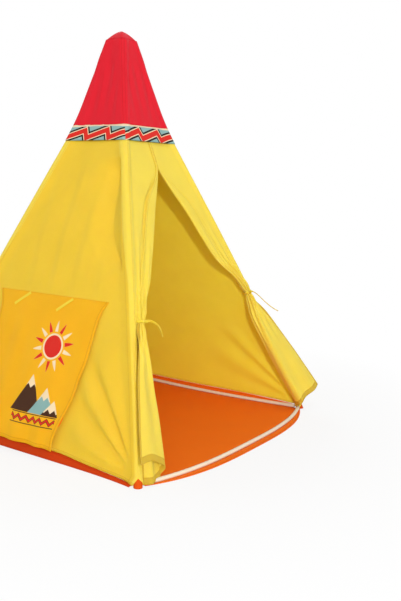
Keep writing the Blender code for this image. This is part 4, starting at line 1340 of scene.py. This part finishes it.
def build_tent(finishes):
    """Every cloth piece that stays with the tent, after its walls."""
    for hand in HANDS:
        dress(f"front_panel_{hand}", panel_surface(hand), (120, 120), finishes["strip"], "yellow_cloth",
              held="gathered")
        dress(f"door_tie_{hand}", tie_surface(hand), (72, 2), finishes["tape"], "mustard_tape",
              thickness=TIE_THICKNESS, wrap=True, flat_area=False)
    for corner in CORNERS:
        sleeve = round_pole(corner, sleeve_radius, sleeve_rim, BAND_BOTTOM + SLEEVE_LAP, SLEEVE_WRINKLE)
        pocket = round_pole(corner, lambda z: POCKET_RADIUS, lambda turn: 0.0, POCKET_HEIGHT, POCKET_WRINKLE)
        dress(f"pole_sleeve_{corner}", sleeve, (32, 140), finishes["yellow"], "yellow_cloth", wrap=True)
        dress(f"corner_pocket_{corner}", pocket, (24, 12), finishes["pocket"], "orange_cloth", wrap=True,
              flat_area=False)
    for side in SIDES:
        band = band_side(side, BAND_BOTTOM, CAP_BOTTOM + CAP_LAP, BAND_PUFF)
        cap = band_side(side, CAP_BOTTOM, CROWN_BOTTOM + CAP_LAP, CAP_PUFF)
        dress(f"band_{side}", band, (40, 8), finishes["band"], "band_cloth")
        dress(f"cap_{side}", cap, (50, 50), finishes["red"], "red_cloth")
        # The left border takes the darker orange: painted shade
        dress(f"floor_border_{side}", border_surface(side), (110, 8),
              finishes["shaded_hem" if side == "left" else "orange_hem"], "orange_cloth",
              held="laid" if side == "front" else "stretched", hem_end="end")
    add_piping(finishes["cream"])
    dress("cap_crown", crown_surface, (30, 30), finishes["red"], "red_cloth")
    dress("floor_mat", mat_surface, (60, 60), finishes["orange"], "orange_cloth", held="laid",
          thickness=MAT_THICKNESS)


def build_moving(finishes):
    """The window flap and the two door tails."""
    dress("window_flap", flap_surface, (90, 90), finishes["flap"], "flap_cloth", body="window_flap",
          held="hung", hem_end="end")
    for hand in HANDS:
        up = seam_frame(hand)[0]
        tail = dress(f"door_flap_{hand}", tail_surface(hand), (150, 100), finishes["tail"], "yellow_cloth",
                     body=None, held="gathered", hem_end="end")
        start = seam_point(hand, TIE_HEIGHT[hand])
        first, last = TAIL_BEND
        start - up * first
        start - up * last
        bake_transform(tail)


FLOOR_WHITE = (0.90, 0.90, 0.90)
SHADOW_REACH = 0.75
SHADOW_FADE = 0.8
WORLD_LIGHT = 0.53
STAGE_REACH = 30.0
LAMPS = {
    "key": ((-3.4, -3.4, 1.75), 0.25, 114.0),
    "top": ((-1.0, -1.5, 4.5), 3.0, 34.0),
    "back": ((3.2, 3.6, 2.6), 2.5, 45.0),
}
LAMP_AIM = (0.0, 0.0, 0.45)


def white_where_seen(tree, shader, output, share):
    """Send the shader to the output, mixed by share with plain white for camera, gloss and clear rays."""
    path = tree.nodes.new("ShaderNodeLightPath")
    seen = Field(path.outputs["Is Camera Ray"]).most(Field(path.outputs["Is Glossy Ray"]))
    seen = seen.most(Field(path.outputs["Is Transmission Ray"])) * share
    white = new_node(tree, "ShaderNodeEmission", Strength=1.0)
    white.inputs["Color"].default_value = (1.0, 1.0, 1.0, 1.0)
    mix = tree.nodes.new("ShaderNodeMixShader")
    tree.links.new(seen.socket, mix.inputs[0])
    tree.links.new(shader, mix.inputs[1])
    tree.links.new(white.outputs[0], mix.inputs[2])
    tree.links.new(mix.outputs[0], output.inputs[0])


def build_stage():
    """A pale floor, an even white surround and soft studio light."""
    mesh = bpy.data.meshes.new("studio_floor")
    corners = [(x * STAGE_REACH, y * STAGE_REACH, 0.0) for x, y in ((-1, -1), (1, -1), (1, 1), (-1, 1))]
    mesh.from_pydata(corners, [], [(0, 1, 2, 3)])
    linked("studio_floor", mesh)
    made, tree, shader = new_material("studio_floor", FLOOR_WHITE)
    shader.inputs["Base Color"].default_value = (*FLOOR_WHITE, 1.0)
    shader.inputs["Roughness"].default_value = 0.9
    middle = tree.nodes.new("ShaderNodeTexCoord").outputs["Object"]
    reach = new_node(tree, "ShaderNodeVectorMath", Vector=middle)
    reach.operation = "LENGTH"
    far = ((Field(reach.outputs["Value"]) - SHADOW_REACH) * (1.0 / SHADOW_REACH)).most(0.0).least(1.0)
    share = far * (1.0 - SHADOW_FADE) + SHADOW_FADE
    white_where_seen(tree, shader.outputs[0], tree.nodes["Material Output"], share)
    mesh.materials.append(made)

    world = bpy.data.worlds.new("studio")
    bpy.context.scene.world = world
    world.use_nodes = True
    tree = world.node_tree
    light = tree.nodes["Background"]
    light.inputs["Color"].default_value = (1.0, 1.0, 1.0, 1.0)
    light.inputs["Strength"].default_value = WORLD_LIGHT
    white_where_seen(tree, light.outputs[0], tree.nodes["World Output"], 1.0)
    bpy.context.scene.view_settings.view_transform = "Standard"

    for name, (spot, size, power) in LAMPS.items():
        data = bpy.data.lights.new(name, "AREA")
        data.size = size
        data.energy = power
        lamp = linked(name, data)
        lamp.location = spot
        lamp.rotation_mode = "QUATERNION"
        lamp.rotation_quaternion = (Vector(LAMP_AIM) - Vector(spot)).to_track_quat("-Z", "Y")


def finish_frame(nodes):
    """Materials of the rigid pieces that stay as the frame has them."""
    looks = {
        "pole_grey": moulded("pole_grey_visual", POLE_GREY, 0.45),
        "ferrule_metal": moulded("ferrule_metal_visual", FERRULE_METAL, 0.32, 1.0),
        "black_plastic": moulded("black_plastic_visual", BLACK_PLASTIC, 0.5),
    }
    for subpart in frame["record"]["subparts"]:
        if subpart["material_slot"] in looks:
            node = nodes[subpart["node"]]
            node.data.materials.clear()
            node.data.materials.append(looks[subpart["material_slot"]])


add_camera()
tape = woven("tape_yellow", PALE_YELLOW, roughness=0.6)
add_tapes(tape)
finishes = {
    "yellow": woven("cloth_yellow_sleeve", LEMON),
    # The left wall carries the lemon strip over the pole, partly painted highlight
    "left": woven("cloth_yellow_left", YELLOW, hem=0.010, seam=0.026, double_and_shade=0.05, pattern=lemon_strip_and_highlight),
    # Right and back walls in the lighter copy of the wall cloth: painted light inside the tent
    "lit_wall": woven("cloth_yellow_wall_painted_light", LIT_WALL_LEMON, hem=0.010, seam=0.026, double_and_shade=0.05,
                    scatter=THIN_SCATTER_LENGTH),
    "strip": woven("cloth_yellow_panel", LEMON, seam=0.008, double_and_shade=0.05),
    # Tails: the hem band darkened strongly, painted shade under the curled hem
    "tail": woven("cloth_yellow_tail", LEMON, hem=0.020, seam=0.006, double_and_shade=0.8),
    "flap": woven("cloth_flap", FLAP_YELLOW, hem=0.012, seam=0.010, pattern=mountain_print),
    "orange": woven("cloth_orange", ORANGE, roughness=0.6, glow=0.3),
    "pocket": woven("cloth_orange_pocket", POCKET_ORANGE, roughness=0.6, glow=0.0),
    "orange_hem": woven("cloth_orange_hem", ORANGE, hem=0.006, glow=0.3),
    # Painted shade: the darker orange of the left border
    "shaded_hem": woven("cloth_orange_shaded", SHADED_ORANGE, hem=0.006, glow=0.0),
    "red": woven("cloth_red", RED, seam=0.006, roughness=0.45, glow=0.4),
    "cream": woven("piping_cream", CREAM, roughness=0.7, glow=0.0, crease=0.4),
    "band": woven("band_print", TEAL, pattern=zigzag_band, glow=0.2, crease=0.4),
    "tape": tape,
}
build_walls(finishes)
build_tent(finishes)
build_moving(finishes)
finish_frame(frame["nodes"])
build_stage()
